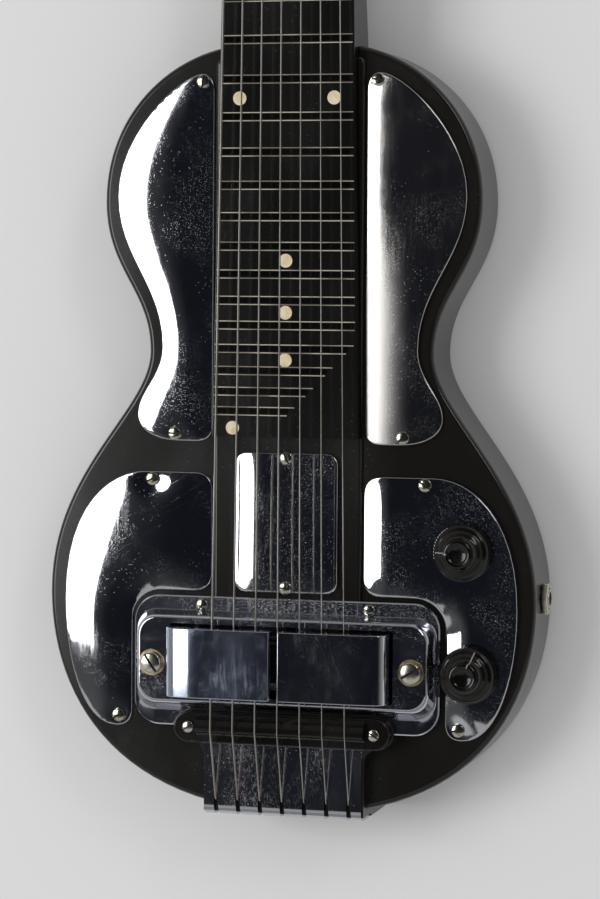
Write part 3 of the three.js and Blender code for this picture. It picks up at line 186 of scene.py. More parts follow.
# The metal mirrors a dark ceiling, grey walls, two cards at the tail, the softbox's spill and the table.
across = sky.axis(0, output=0)
height = sky.axis(2, output=0)
to_bass = 0 - across
to_tail = 0 - sky.axis(1, output=0)
wall = 1 - height.rise(0.35, 0.86)
corner_card = (to_tail * 1.38 - across).rise(0.75, 0.8) * to_tail.rise(0.2, 0.24)
end_card = to_tail.rise(0.27, 0.3) * across.rise(-0.26, -0.24)
cards = corner_card.most(end_card) * height.rise(0.55, 0.65)
spill = to_bass.rise(0.27, 0.43) * 0.07 + to_tail.rise(0.1, 0.36) * to_bass.rise(0.12, 0.4) * 0.08
below = (0 - height).rise(-0.12, 0.02)
seen_in_metal = sky.mix(wall, ceiling_dark, wall_grey)
for share in (cards * 0.5, spill, below):
    seen_in_metal = sky.mix(share, seen_in_metal, pale_backdrop)
light = sky.mix(sky.node("LightPath", output="Is Glossy Ray"), fill_light, seen_in_metal)
light = sky.mix(sky.node("LightPath", output="Is Camera Ray"), light, pale_backdrop)
background = sky.node("Background", {"Color": light, "Strength": 1.0})
output = world.node_tree.nodes.new("ShaderNodeOutputWorld")
world.node_tree.links.new(background.socket, output.inputs["Surface"])


def finish(name, color, roughness, metallic=0.0):
    """A new material, its nodes, and a function that sets what varies over it."""
    material = bpy.data.materials.new(name)
    material.use_nodes = True
    nodes = Nodes(material.node_tree)
    shader = material.node_tree.nodes["Principled BSDF"]
    nodes.put(shader.inputs["Base Color"], color)
    nodes.put(shader.inputs["Roughness"], roughness)
    nodes.put(shader.inputs["Metallic"], metallic)

    def vary(**fields):
        bump = fields.pop("Bump", None)
        for socket, value in fields.items():
            nodes.put(shader.inputs[socket.replace("_", " ")], value)
        if bump:
            height_field, distance = bump
            values = {"Height": height_field, "Distance": distance, "Strength": 1.0}
            nodes.put(shader.inputs["Normal"], nodes.node("Bump", values))

    return material, nodes, vary


def mesh_object(name, bm):
    """Turns a bmesh into an object of the scene."""
    mesh = bpy.data.meshes.new(name)
    bm.to_mesh(mesh)
    bm.free()
    made = bpy.data.objects.new(name, mesh)
    scene.collection.objects.link(made)
    return made


table_top, nodes, vary = finish("table_top", (0.8, 0.8, 0.79, 1), 0.85)
vary(Base_Color=nodes.mix(nodes.noise(3.0, 4), (0.78, 0.78, 0.77, 1), (0.83, 0.83, 0.82, 1)))
bm = bmesh.new()
bmesh.ops.create_grid(bm, x_segments=1, y_segments=1, size=6)
bmesh.ops.translate(bm, verts=bm.verts, vec=(0, 0, -0.0004))
table = mesh_object("table", bm)
table.data.materials.append(table_top)

# Body. One black phenolic moulding with a softly rounded edge, a raised deck down the middle and a
# raised block at the tail. It is pressed in a mould, so it is smooth, and handling has dulled it in
# patches.


def black_plastic(name, color, sheen, wear=1.0):
    """Black phenolic: nearly smooth, with hazy smears, fine scuffs and a little dust."""
    material, nodes, vary = finish(name, color, sheen)
    smears = nodes.noise(24, 3, (1, 0.45, 1))
    grain = nodes.noise(900, 2)
    scuffs = nodes.hairs(34, 0.5, 0.004).most(nodes.hairs(28, -1.2, 0.004))
    dust = nodes.specks(430, 0.13) * smears.rise(0.5, 0.62)
    grey = tuple(0.8 * c + 0.008 for c in color[:3]) + (1,)
    shade = nodes.mix(smears.rise(0.35, 0.75) * 0.5, color, grey)
    shade = nodes.mix(dust * (0.16 * wear), shade, (0.26, 0.24, 0.21, 1))
    rough = sheen + smears.rise(0.4, 0.75) * (0.07 * wear) + scuffs * (0.06 * wear) + dust * 0.2
    vary(Base_Color=shade, Roughness=rough, Bump=(grain * 0.2 + scuffs * -0.2, 0.000012))
    return material


def points_along(start, *spans, steps):
    """Points of a line of straight (end) and curved (handle, handle, end) spans."""
    points = [Vector(start)]
    for span in spans:
        if len(span) == 1:
            points.append(Vector(span[0]))
        else:
            ends = [p.to_3d() for p in (points[-1], *map(Vector, span))]
            points += [p.to_2d() for p in interpolate_bezier(*ends, steps + 1)[1:]]
    return points


def both_sides(right):
    """A whole outline from its right half, which starts and ends near the centreline."""
    kept = [p for p in reversed(right) if p.x > 0.01]
    return right + [Vector((-p.x, p.y)) for p in kept]


def arc(x, y, radius, start, end, steps=8):
    """Points of a circular arc between two angles in degrees."""
    angles = [math.radians(start + (end - start) * k / steps) for k in range(steps + 1)]
    return [Vector((x + radius * math.cos(a), y + radius * math.sin(a))) for a in angles]


def rounded_outline(x0, x1, y0, y1, radius, steps=8):
    """A rectangle with rounded corners."""
    points = []
    for x, y, start in ((x1, y0, -90), (x1, y1, 0), (x0, y1, 90), (x0, y0, 180)):
        cx = x + (radius if x == x0 else -radius)
        cy = y + (radius if y == y0 else -radius)
        points += arc(cx, cy, radius, start, start + 90, steps)
    return points


def extruded(corners, shift):
    """A closed form in millimetres: a flat polygon of corners, drawn out by a shift."""
    bm = bmesh.new()
    face = bm.faces.new([bm.verts.new(corner) for corner in corners])
    made = bmesh.ops.extrude_face_region(bm, geom=[face])
    far = [v for v in made["geom"] if isinstance(v, bmesh.types.BMVert)]
    bmesh.ops.translate(bm, verts=far, vec=shift)
    bmesh.ops.recalc_face_normals(bm, faces=bm.faces)
    return bm


def sharp_edges(bm, least):
    """The edges where two faces meet at more than an angle in degrees."""
    return [e for e in bm.edges if e.is_manifold and math.degrees(e.calc_face_angle(0)) > least]


def soften(bm, edges, offset, segments, clamp=False):
    """Rounds edges off."""
    bmesh.ops.bevel(
        bm, geom=edges, offset=offset, segments=segments, profile=0.5, affect="EDGES",
        clamp_overlap=clamp, material=-1,
    )


def round_rim(bm, z, radius, segments=4, least=40):
    """Rounds the sharp edges that lie at the height z."""
    rim = [e for e in sharp_edges(bm, least) if all(abs(v.co.z - z) < 1e-4 for v in e.verts)]
    soften(bm, rim, radius, segments)


def block(points, low, high, top_round=0.0, bottom_round=0.0, segments=4):
    """An outline raised from one height to another, with its rims rounded."""
    bm = extruded([(p.x, p.y, low) for p in points], (0, 0, high - low))
    if bottom_round:
        round_rim(bm, low, bottom_round, segments)
    if top_round:
        round_rim(bm, high, top_round, segments)
    return bm


def rod(radius, length, segments, at, along_axis="Z", top=None):
    """A cylinder or cone from its foot at a point, along an axis."""
    bm = bmesh.new()
    top = radius if top is None else top
    bmesh.ops.create_cone(
        bm, cap_ends=True, segments=segments, radius1=radius, radius2=top, depth=length
    )
    bmesh.ops.translate(bm, verts=bm.verts, vec=(0, 0, length / 2))
    if along_axis == "X":
        bmesh.ops.rotate(bm, verts=bm.verts, matrix=Matrix.Rotation(math.pi / 2, 3, "Y"))
    bmesh.ops.translate(bm, verts=bm.verts, vec=at)
    return bm


def brick(x0, x1, y0, y1, z0, z1):
    """A plain block with hardly broken corners."""
    return block(rounded_outline(x0, x1, y0, y1, 0.01, 1), z0, z1)


def carve(bm, tools, operation="DIFFERENCE"):
    """Cuts or joins closed bmeshes with the Boolean modifier and gives the result back."""
    target = mesh_object("carving", bm)
    helpers = [mesh_object("carving_tool", tool) for tool in tools]
    for helper in helpers:
        cut = target.modifiers.new("cut", "BOOLEAN")
        cut.operation = operation
        cut.solver = "EXACT"
        cut.object = helper
    shaped = target.evaluated_get(bpy.context.evaluated_depsgraph_get())
    done = bmesh.new()
    done.from_mesh(shaped.to_mesh())
    bmesh.ops.remove_doubles(done, verts=done.verts, dist=1e-4)
    for spare in [target, *helpers]:
        mesh = spare.data
        bpy.data.objects.remove(spare)
        bpy.data.meshes.remove(mesh)
    return done


def piece(name, bm, material, body="guitar", stands_for=(), smooth=32, second=None):
    """Makes a finished piece of a bmesh in millimetres and sets it in the frame."""
    bmesh.ops.scale(bm, vec=(0.001, 0.001, 0.001), verts=bm.verts)
    bmesh.ops.dissolve_degenerate(bm, dist=1e-7, edges=bm.edges)
    made = mesh_object(name, bm)
    made.data.materials.append(material)
    if second:
        made.data.materials.append(second)
    made.data.shade_smooth()
    made.data.set_sharp_from_angle(angle=math.radians(smooth))
    flats = made.modifiers.new("level_flats", "WEIGHTED_NORMAL")
    flats.keep_sharp = True
    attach(made, body)
    if stands_for:
        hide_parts(*stands_for)


body_top = 41.0
body_black = black_plastic("body_moulding", (0.0085, 0.0076, 0.0064, 1), sheen=0.15)
half_body = points_along(
    (0, -35.2),
    ((87.7, -35.2), (116, 18), (116, 65)),
    ((116, 122.5), (67.5, 150.6), (67.5, 178)),
    ((67.5, 206.6), (89.4, 214.8), (89.4, 247.7)),
    ((89.4, 286.1), (62.15, 311.59), (33, 317.8)),
    steps=26,
)
body = block(both_sides(half_body), 0, body_top, top_round=2.5, bottom_round=5, segments=5)
deck = block(rounded_outline(-35.2, 35.2, 5.1, 312.8, 3, 4), 30, 43.2, top_round=1.6)
tail_half = points_along(
    (0, -35.6),
    ((38.2, -35.6),),
    ((38.2, -10),),
    ((38.2, -4.5), (40.4, -2.9), (44.1, -2.9)),
    ((48.52, -2.9), (52.1, 0.68), (52.1, 5.1)),
    ((52.1, 9.52), (48.52, 13.1), (44.1, 13.1)),
    ((0, 13.1),),
    steps=8,
)
tail_block = block(both_sides(tail_half), 1.5, 46.9, top_round=0.6, bottom_round=2.5, segments=3)
bed_corners = ((-35, 139.5), (35, 139.5), (31.7, 330), (-31.7, 330))
neck_bed = extruded([(x, y, 17) for x, y in bed_corners], (0, 0, 40))
jack_hole = rod(4.95, 30, 32, (100, 67, 21), "X")
magnet_hole = block(rounded_outline(-53, 53, 19.3, 53.1, 1, 2), 28, 60)
tail_rebate = brick(-40, 40, -40, -34.3, 31.7, 50)
body = carve(body, [deck, tail_block], "UNION")
bolt_places = [(0, y) for y in (165, 225, 285)]
bolt_wells = [rod(7.5, 7, 40, (x, y, -1)) for x, y in bolt_places]
body = carve(body, [neck_bed, jack_hole, magnet_hole, tail_rebate, *bolt_wells])
piece("body_shell", body, body_black, stands_for=["body"])

# Neck bolts. Three slotted steel bolts, sunk in wells in the back of the body, go up into the neck's
# heel. The same turned and slotted head, in other sizes, makes every screw of the guitar.
steel, nodes, vary = finish("steel", (0.42, 0.41, 0.39, 1), 0.3, 1.0)
vary(Roughness=0.24 + nodes.noise(500, 3) * 0.24)
# The slot faces are painted near black: partly grime, partly painted shade in the narrow recess.
slot_grime_and_shade, nodes, vary = finish("slot_grime_and_shade", (0.01, 0.009, 0.008, 1), 0.6)
vary(Base_Color=nodes.mix(nodes.noise(900, 2), (0.006, 0.005, 0.004, 1), (0.03, 0.026, 0.02, 1)))


def turned(profile, steps):
    """Spins a profile of (radius, height) round the z axis into a closed form."""
    bm = bmesh.new()
    verts = [bm.verts.new((r, 0, z)) for r, z in profile]
    edges = [bm.edges.new(pair) for pair in zip(verts, verts[1:])]
    bmesh.ops.spin(
        bm, geom=verts + edges, cent=(0, 0, 0), axis=(0, 0, 1), angle=2 * math.pi, steps=steps,
        use_merge=True,
    )
    bmesh.ops.remove_doubles(bm, verts=bm.verts, dist=1e-4)
    bmesh.ops.recalc_face_normals(bm, faces=bm.faces)
    return bm


def slotted_screw(turn, place, radius, rise, slot, dome, shank, length, points_up=False):
    """A turned head with a domed top, a sawn slot and its shank, seated at a place."""
    angles = [math.radians(90 * k / 8) for k in range(9)]
    profile = [(radius * math.sin(a), rise * (1 - dome * (1 - math.cos(a)))) for a in angles]
    bm = turned([*profile, (radius * 0.97, 0), (shank, 0), (shank, -length), (0, -length)], 40)
    floor = rise - slot
    groove = brick(-slot / 2, slot / 2, -radius * 1.2, radius * 1.2, floor, rise + 1)
    bm = carve(bm, [groove])
    # The slot's faces take the second material, painted near black as grime and painted shade.
    for face in bm.faces:
        middle = face.calc_center_median()
        if abs(middle.x) < slot / 2 + 1e-3 and middle.z > floor - 1e-3:
            face.material_index = 1
    way = Matrix.Rotation(math.pi, 3, "X") if points_up else Matrix.Identity(3)
    bmesh.ops.rotate(bm, verts=bm.verts, matrix=way @ Matrix.Rotation(turn, 3, "Z"))
    bmesh.ops.translate(bm, verts=bm.verts, vec=place)
    return bm


neck_bolt = dict(radius=5.4, rise=2.8, slot=1.3, dome=0.5, shank=2.4, length=9)
for index, (x, y) in enumerate(bolt_places):
    bolt = slotted_screw(0.5 + index, (x, y, 5.9), **neck_bolt, points_up=True)
    piece(f"neck_bolt_{index + 1}", bolt, steel, second=slot_grime_and_shade)

# Neck. It is moulded in one piece with its fret ridges and its head, and let into the body. Cream
# paint fills a groove on each side of every ridge, and the position dots are cream too.
scale_length = 571.5
fret_count = 23
fret_plane = 48.3
heel_y = 139.8
heel_half = 34.65
nut_half = 27.2
nut_depth = 5
post_x = 26.5
post_gap = 26
post_radius = 3.3


def neck_half(y):
    """Half the width of the tapering neck."""
    share = (y - heel_y) / (scale_length - heel_y)
    return heel_half + (nut_half - heel_half) * share


def neck_ring(bm, y, half, low, high, rounding):
    """One cross section of the neck: flat above, rounded below."""
    steps = 8
    drop = min(rounding, high - low - 1)
    ring = [bm.verts.new((-half, y, high))]
    for k in range(steps + 1):
        angle = math.radians(90 * k / steps)
        x = -half + rounding * (1 - math.cos(angle))
        ring.append(bm.verts.new((x, y, low + drop * (1 - math.sin(angle)))))
    for v in reversed(ring[:]):
        ring.append(bm.verts.new((-v.co.x, y, v.co.z)))
    return ring


def skin(bm, rings):
    """Joins open rings of equally many points into one closed skin."""
    count = len(rings[0])
    for near, far in zip(rings, rings[1:]):
        for k in range(count):
            j = (k + 1) % count
            bm.faces.new((near[k], near[j], far[j], far[k]))
    bm.faces.new(rings[0])
    bm.faces.new(rings[-1])
    bmesh.ops.recalc_face_normals(bm, faces=bm.faces)


neck = bmesh.new()
sections = ((heel_y, 4.5), (300, 4.5), (322, 6), (345, 9), (scale_length + nut_depth, 9))
rings = [neck_ring(neck, y, neck_half(min(y, scale_length)), 17.3, fret_plane, r) for y, r in sections]
skin(neck, rings)
top_edges = [
    e
    for e in neck.edges
    if all(abs(v.co.z - fret_plane) < 1e-4 for v in e.verts)
    and abs(e.verts[0].co.x) > 5
    and abs(e.verts[0].co.x - e.verts[1].co.x) < 10
]
soften(neck, top_edges, 0.5, 2)
volute = bmesh.new()
volute_ends = ((560, 17.6, 9), (593.5, 26.2, 1))
skin(volute, [neck_ring(volute, y, 26.9, low, 41.8, rounding) for y, low, rounding in volute_ends])
half_head = points_along(
    (0, 566),
    ((27.2, 566),),
    ((27.2, 576.5),),
    ((27.2, 582.5), (38, 582.5), (38, 593.5)),
    ((35, 692.5),),
    ((35, 699.8), (31.3, 703.5), (24, 703.5)),
    ((0, 705.1),),
    steps=10,
)
head = block(both_sides(half_head), 26, 42, top_round=1.6, bottom_round=1.6, segments=3)
posts = [(-post_x, 606.5 + post_gap * k) for k in range(4)]
posts += [(post_x, 671.5 - post_gap * k) for k in range(3)]
neck = carve(neck, [volute, head], "UNION")
neck = carve(neck, [rod(post_radius, 30, 24, (x, y, 20)) for x, y in posts])
neck_black = black_plastic("neck_moulding", (0.0055, 0.005, 0.0044, 1), sheen=0.12, wear=0.7)
# The ridges are the neck's own phenolic; their darker colour is painted shade for the dark ceiling they
# reflect.
ridge_black = black_plastic("ridge_moulding", (0.002, 0.0018, 0.0016, 1), sheen=0.08, wear=0.3)
piece("neck_moulding", neck, neck_black, stands_for=["neck"])


def fret(number):
    """Where a fret lies along the neck."""
    return scale_length * 2 ** (-number / 12)


def add_form(whole, part):
    """Puts one bmesh into another."""
    mesh = bpy.data.meshes.new("part")
    part.to_mesh(mesh)
    part.free()
    whole.from_mesh(mesh)
    bpy.data.meshes.remove(mesh)


ridges = bmesh.new()
lines = bmesh.new()
last_fret = fret(fret_count)
strips = (
    (ridges, 0, 1.55, 48.1, 0.62, 0.4),
    (lines, -1.85, 0.22, 48.15, 0.23, 0),
    (lines, 1.85, 0.22, 48.15, 0.23, 0),
)
for number in range(1, fret_count + 1):
    half = neck_half(fret(number))
    for whole, offset, reach, low, tall, rounding in strips:
        y = fret(number) + offset
        left = 0.55 - half
        right = min(half - 0.9, 2.8 + (y - last_fret) * 0.965)
        corners = ((left, y - reach), (right, y - reach), (right, y + reach), (left, y + reach))
        bar = extruded([(*corner, low) for corner in corners], (0, 0, tall))
        if rounding:
            round_rim(bar, low + tall, rounding, 3)
        add_form(whole, bar)
piece("fret_ridges", ridges, ridge_black)

cream, nodes, vary = finish("cream_inlay", (0.62, 0.54, 0.36, 1), 0.42)
patches = nodes.noise(190, 4, (0.25, 1, 1))
vary(
    Base_Color=nodes.mix(patches.rise(0.4, 0.6), (0.52, 0.47, 0.36, 1), (0.2, 0.17, 0.12, 1)),
    Roughness=0.38 + patches * 0.2,
    Bump=(nodes.noise(800, 2), 0.00003),
)
piece("fret_lines", lines, cream)
dots = bmesh.new()
dot_places = [(-22.25, 294.1), (22.25, 294.1), (0, 220.3), (0, 196.6), (0, 174.9), (-24.8, 143.6)]
for number in (3, 5, 7, 9):
    dot_places.append((0, (fret(number) + fret(number - 1)) / 2))
dot_radius = 3.15
for x, y in dot_places:
    add_form(dots, rod(dot_radius, 0.5, 32, (x, y, 47.87)))


def mottled(name, pattern, spread, first, second, gloss, drift, metallic=0.0):
    """A finish whose colour and roughness drift together between two shades."""
    material, nodes, vary = finish(name, first, gloss, metallic)
    clouds = nodes.noise(*pattern)
    vary(Base_Color=nodes.mix(clouds.rise(*spread), first, second), Roughness=gloss + clouds * drift)
    return material


dot_shades = (0.72, 0.58, 0.34, 1), (0.84, 0.74, 0.52, 1)
dot_cream = mottled("dot_celluloid", (300, 3), (0.35, 0.7), *dot_shades, gloss=0.35, drift=0.2)
piece("fret_dots", dots, dot_cream)

# Cover plates. Five plates pressed from thin sheet and chromed, each with a rolled edge and two small
# slotted screws. The bass pair is domed like a cushion, and the others are bent up along the edge by
# the neck. The chrome is bright, but finely scratched and flecked.


def chrome(name, tint, haze, fleck, gloss=0.03, grime=0.0, streak=(1, 0.3, 1), rubbed=0.0):
    """Plated mirror metal with polishing haze, a few hairline scratches, fine pits and dirt. It can be
    rubbed dull beside the lower end of the neck."""
    material, nodes, vary = finish(name, tint, gloss, 1.0)
    clouds = nodes.noise(14, 3, streak)
    mist = nodes.noise(170, 3, streak)
    brushed = nodes.noise(1300, 2, (1, 0.05, 1))
    hairs = nodes.hairs(15, 1.2, 0.003).most(nodes.hairs(12, -0.6, 0.003))
    hairs = hairs * nodes.noise(9, 0).rise(0.5, 0.55)
    sway = nodes.noise(11, 1)
    patches = nodes.noise(34, 3).rise(0.42, 0.62)
    pits = nodes.specks(1500, 0.24) * patches
    pits = pits.most(nodes.specks(700, 0.16) * nodes.noise(50, 2).rise(0.5, 0.6))
    pits = pits.most(nodes.specks(240, 0.06) * clouds.rise(0.4, 0.5))
    rough = gloss + clouds.rise(0.42, 0.8) * haze + mist.rise(0.45, 0.8) * (haze * 0.5) + hairs * 0.08
    rough = rough + brushed.rise(0.4, 0.7) * patches * 0.06
    if rubbed:
        low_end = 1 - nodes.axis(1).rise(0.2, 0.25)
        rough = rough + low_end * (1 - nodes.axis(0).rise(0.046, 0.06)) * rubbed
    shade = nodes.mix(pits * fleck, tint, (0.5, 0.49, 0.46, 1))
    metal = 1 - pits * (fleck * 0.7)
    if grime:
        dirt = nodes.noise(38, 3, streak).rise(0.46, 0.7) * grime
        dirt = dirt * nodes.noise(1500, 3, streak).rise(0.5, 0.66)
        shade = nodes.mix(dirt, shade, (0.07, 0.066, 0.055, 1))
        metal = metal * (1 - dirt * 0.9)
        rough = rough + dirt * 0.2
    vary(
        Base_Color=shade,
        Metallic=metal,
        Roughness=rough + pits * (fleck * 0.4),
        Bump=(sway * 25.0 + mist * 0.1 + brushed * 0.08 + pits * 0.4, 0.00001),
    )
    return material


def even(points, spacing):
    """An outline with points at equal steps along it."""
    spans = [(q - p).length for p, q in zip(points, points[1:] + points[:1])]
    count = int(sum(spans) / spacing)
    step = sum(spans) / count
    placed = []
    passed = 0.0
    for p, q, span in zip(points, points[1:] + points[:1], spans):
        while len(placed) * step < passed + span - 1e-6 and len(placed) < count:
            placed.append(p.lerp(q, (len(placed) * step - passed) / span))
        passed += span
    return placed


def domed_sheet(outline, low, thick, roll, rise, bend, dimples=()):
    """A pressed plate. Its skin is a net of points that swells from the rim by the rise, follows the
    height that bend gives and sinks at the screws. Its edge rolls down."""
    spacing = 1.8
    fade = 10
    points = shrunk(outline, roll * 0.65)
    lip = [] if rise else shrunk(points, 0.9)
    inner = list(lip)
    x0, x1 = min(p.x for p in points), max(p.x for p in points)
    y0, y1 = min(p.y for p in points), max(p.y for p in points)
    rows = int((y1 - y0) / (spacing * 0.87)) + 1
    columns = int((x1 - x0) / spacing) + 1
    for row in range(rows):
        for column in range(columns):
            spot = Vector((x0 + (column + 0.5 * (row % 2)) * spacing, y0 + row * spacing * 0.87))
            if inside(spot, lip or points, spacing * 0.7):
                inner.append(spot)
    count = len(points)
    seams = [(k, (k + 1) % count) for k in range(count)]
    seams += [(count + k, count + (k + 1) % count) for k in range(len(lip))]
    places, _, faces, *_ = delaunay_2d_cdt(points + inner, seams, [], 1, 1e-5)
    bm = bmesh.new()
    verts = [bm.verts.new((p.x, p.y, 0)) for p in places]
    for face in faces:
        bm.faces.new([verts[k] for k in face])
    free = verts[count:]
    loose = verts[count + len(lip):]
    for _ in range(12):
        bmesh.ops.smooth_vert(bm, verts=loose, factor=0.5, use_axis_x=True, use_axis_y=True)
    if rise:
        slack = 0.225 * spacing * spacing / (fade * fade)
        for _ in range(int(4 / slack)):
            bmesh.ops.smooth_vert(bm, verts=free, factor=0.9, use_axis_z=True)
            bmesh.ops.translate(bm, verts=free, vec=(0, 0, slack))
            bmesh.ops.scale(bm, verts=free, vec=(1, 1, 1 - slack))
    for v in verts:
        v.co.z = rise * min(v.co.z, 0.95) + bend(v.co.x, v.co.y)
    for v in free:
        for x, y, sink, reach in dimples:
            v.co.z -= sink * math.exp(-((v.co.x - x) ** 2 + (v.co.y - y) ** 2) / (reach * reach))
    for _ in range(3):
        bmesh.ops.smooth_vert(bm, verts=loose, factor=0.5, use_axis_z=True)
    bmesh.ops.translate(bm, verts=bm.verts, vec=(0, 0, low + thick))
    above = verts[:count]
    rim_heights = [v.co.z - low for v in above]
    for inset, drop in ((0.35, 0.12), (0.1, 0.42), (0.0, 1.0)):
        ring = []
        for p, tall in zip(shrunk(outline, roll * inset), rim_heights):
            above_low = max(tall - thick * drop, 0.0) if drop < 1 else 0.0
            ring.append(bm.verts.new((p.x, p.y, low + above_low)))
        for k in range(count):
            bm.faces.new((above[k - 1], above[k], ring[k], ring[k - 1]))
        above = ring
    bm.faces.new(above)
    bmesh.ops.recalc_face_normals(bm, faces=bm.faces)
    return bm


def shoulder(distance, slope, flat_from, flat_to):
    """Height of a strip that is bent up from an edge and levels out between two distances from it."""
    near = max(0.0, min(distance, flat_to))
    past = max(0.0, near - flat_from)
    return slope * (near - past * past / (2 * (flat_to - flat_from)))


plate_inner = 36
pan_side = 74.8
center_half = 24.7
center_y = 100.05


def level(x, y):
    """Not bent at all."""
    return 0.0


def treble_bend(x, y):
    """Bent up along the straight edge by the neck, then falling off gently towards the body's rim."""
    return shoulder(x - plate_inner, 0.133, 2, 14) - 0.0009 * max(x - 48, 0.0) ** 2


def center_bend(x, y):
    """Bent up along the bass edge, less so towards both ends."""
    end = max(0.0, abs(y - center_y) - 18) / 14.45
    return shoulder(x + center_half, 0.135, 4, 14) * (1 - 0.35 * end * end)


def control_bend(x, y):
    """Bent up along both inner edges, less so at their ends, with the tip by the tail pressed down."""
    upper = shoulder(x - plate_inner, 0.172, 4, 14)
    upper *= 1 - 0.3 * (max(0.0, y - 108) / 14) ** 2
    upper *= 1 - 0.45 * (max(0.0, 80 - y) / 13) ** 2 * min(max((64 - x) / 14, 0.0), 1.0)
    share = min(max((y - 51) / 20, 0.0), 1.0)
    share = share * share * (3 - 2 * share)
    tip = 1 - 0.9 * max(0.0, (18 - y) / 15.5) ** 2
    return tip * (share * upper + (1 - share) * shoulder(x - pan_side, 0.172, 4, 14))


def inside(spot, points, margin):
    """Whether a spot lies in an outline and is clear of it by the margin."""
    crossings = 0
    for p, q in zip(points, points[1:] + points[:1]):
        if (p.y > spot.y) != (q.y > spot.y):
            if spot.x < p.x + (spot.y - p.y) * (q.x - p.x) / (q.y - p.y):
                crossings += 1
        span = q - p
        share = max(0.0, min(1.0, (spot - p).dot(span) / max(span.length_squared, 1e-9)))
        if (p + span * share - spot).length < margin:
            return False
    return crossings % 2 == 1


def shrunk(points, distance):
    """An outline moved inwards by a distance."""
    moved = []
    for before, here, after in zip(points[-1:] + points[:-1], points, points[1:] + points[:1]):
        arriving = (here - before).normalized()
        leaving = (after - here).normalized()
        onward = arriving + leaving
        square = Vector((-onward.y, onward.x)).normalized()
        reach = max(square.dot(Vector((-arriving.y, arriving.x))), 0.3)
        moved.append(here + square * (distance / reach))
    return moved


def flipped(points):
    """The mirror image of an outline, still running the same way round."""
    return [Vector((-p.x, p.y)) for p in reversed(points)]


plate_low = 41.25
plate_thick = 0.95
plate_roll = 1.1
upper_outline = points_along(
    (36, 144.6),
    ((36, 139.3), (38.7, 136.6), (44, 136.6)),
    ((52, 136.6),),
    ((65.4, 136.6), (72.8, 141.6), (72.8, 149)),
    ((72.8, 159.4), (61, 166.6), (61, 180.2)),
    ((61, 208.8), (82.9, 221.3), (82.9, 249.9)),
    ((82.9, 279.7), (52, 306), (42, 306)),
    ((38, 306), (36, 302), (36, 298)),
    steps=12,
)
lower_outline = points_along(
    (36, 76),
    ((36, 70), (39, 67), (45, 67)),
    ((60.8, 67),),
    ((68.5, 67), (74.8, 60.7), (74.8, 53)),
    ((74.8, 10.7),),
    ((74.8, 5.2), (77.5, 2.5), (83, 2.5)),
    ((99.4, 2.5), (108.3, 32.2), (108.3, 62)),
    ((108.3, 106.7), (85.4, 122.4), (69, 122.4)),
    ((45, 122.4),),
    ((39, 122.4), (36, 119.4), (36, 113.4)),
    steps=12,
)
center_outline = rounded_outline(-center_half, center_half, 67.6, 132.5, 5.5)
plate_chrome = chrome("plate_chrome", (0.66, 0.67, 0.7, 1), haze=0.05, fleck=0.5)
worn_tint = (0.64, 0.62, 0.6, 1)
worn_chrome = chrome("worn_chrome", worn_tint, haze=0.05, fleck=0.4, gloss=0.07, rubbed=0.2)
screw_shades = (0.62, 0.6, 0.5, 1), (0.3, 0.26, 0.16, 1)
screw_nickel = mottled(
    "screw_nickel", (700, 3), (0.5, 0.75), *screw_shades, gloss=0.07, drift=0.14, metallic=1.0
)

upper_screws = [(41.3, 302.4), (54.35, 140.2)]
lower_screws = [(65, 118.9), (81.3, 7.6)]
pressings = (
    ("upper_plate_bass", -1, upper_outline, plate_chrome, 1.4, level, upper_screws, (0.15, 0.15)),
    ("upper_plate_treble", 1, upper_outline, worn_chrome, 0, treble_bend, upper_screws, (0.15, 0.15)),
    ("lower_plate_bass", -1, lower_outline, plate_chrome, 1.4, level, lower_screws, (0.75, 0.3)),
    ("control_plate", 1, lower_outline, plate_chrome, 0, control_bend, lower_screws, (0.2, 0.3)),
)
for node_name, side, outline, metal, rise, bend, screws, sinks in pressings:
    points = even(outline, 1.7)
    if side < 0:
        points = flipped(points)
    dimples = [(side * x, y, sink, 6) for (x, y), sink in zip(screws, sinks)]
    plate = domed_sheet(points, plate_low, plate_thick, plate_roll, rise, bend, dimples)
    piece(f"{node_name}_pressing", plate, metal, stands_for=[node_name], smooth=60)
center = domed_sheet(even(center_outline, 1.5), 43.45, plate_thick, 1.2, 0, center_bend)
piece("center_plate_pressing", center, plate_chrome, stands_for=["center_plate"], smooth=60)


def screw_piece(name, head, metal=screw_nickel, stands_for=()):
    """Sets a slotted screw in the frame, its slot painted near black as grime and painted shade."""
    piece(name, head, metal, stands_for=stands_for, second=slot_grime_and_shade)


sides = ((-1, "bass"), (1, "treble"))
plate_screw = dict(radius=3.0, rise=1.9, slot=0.9, dome=0.3, shank=1.25, length=9.5)
center_screw = dict(radius=3.0, rise=1.8, slot=0.8, dome=0.38, shank=1.25, length=8)
pan_screw = dict(radius=2.7, rise=1.4, slot=0.7, dome=0.45, shank=1.2, length=8)
for row, screws, bend in (("upper", upper_screws, treble_bend), ("lower", lower_screws, control_bend)):
    for index, (x, y) in enumerate(screws):
        for side, side_name in sides:
            node_name = f"plate_screw_{row}_{side_name}_{index + 1}"
            seat = 41.9 + (0.4 * bend(x, y) if side > 0 else 0)
            head = slotted_screw(0.7 * x + side * y, (side * x, y, seat), **plate_screw)
            screw_piece(f"{node_name}_head", head, stands_for=[node_name])
for index, y in enumerate((129.9, 70.1)):
    head = slotted_screw(0.5 + index, (0, y, 44.2), **center_screw)
    screw_piece(f"center_screw_{index + 1}", head)
for side, side_name in sides:
    head = slotted_screw(0.4 + side, (side * 39.8, 61.2, 44.6), **pan_screw)
    screw_piece(f"pan_screw_{side_name}", head)

# Pickup. A drawn chrome pan carries two bent bar magnets, whose lower legs hold the bobbin and coil
# under the strings. Two large screws with washers hold the pan down.
pan_tint = (0.58, 0.6, 0.66, 1)
pan_chrome = chrome("pan_chrome", pan_tint, haze=0.08, fleck=0.6, gloss=0.05, grime=0.5, streak=(0.4, 1, 1))

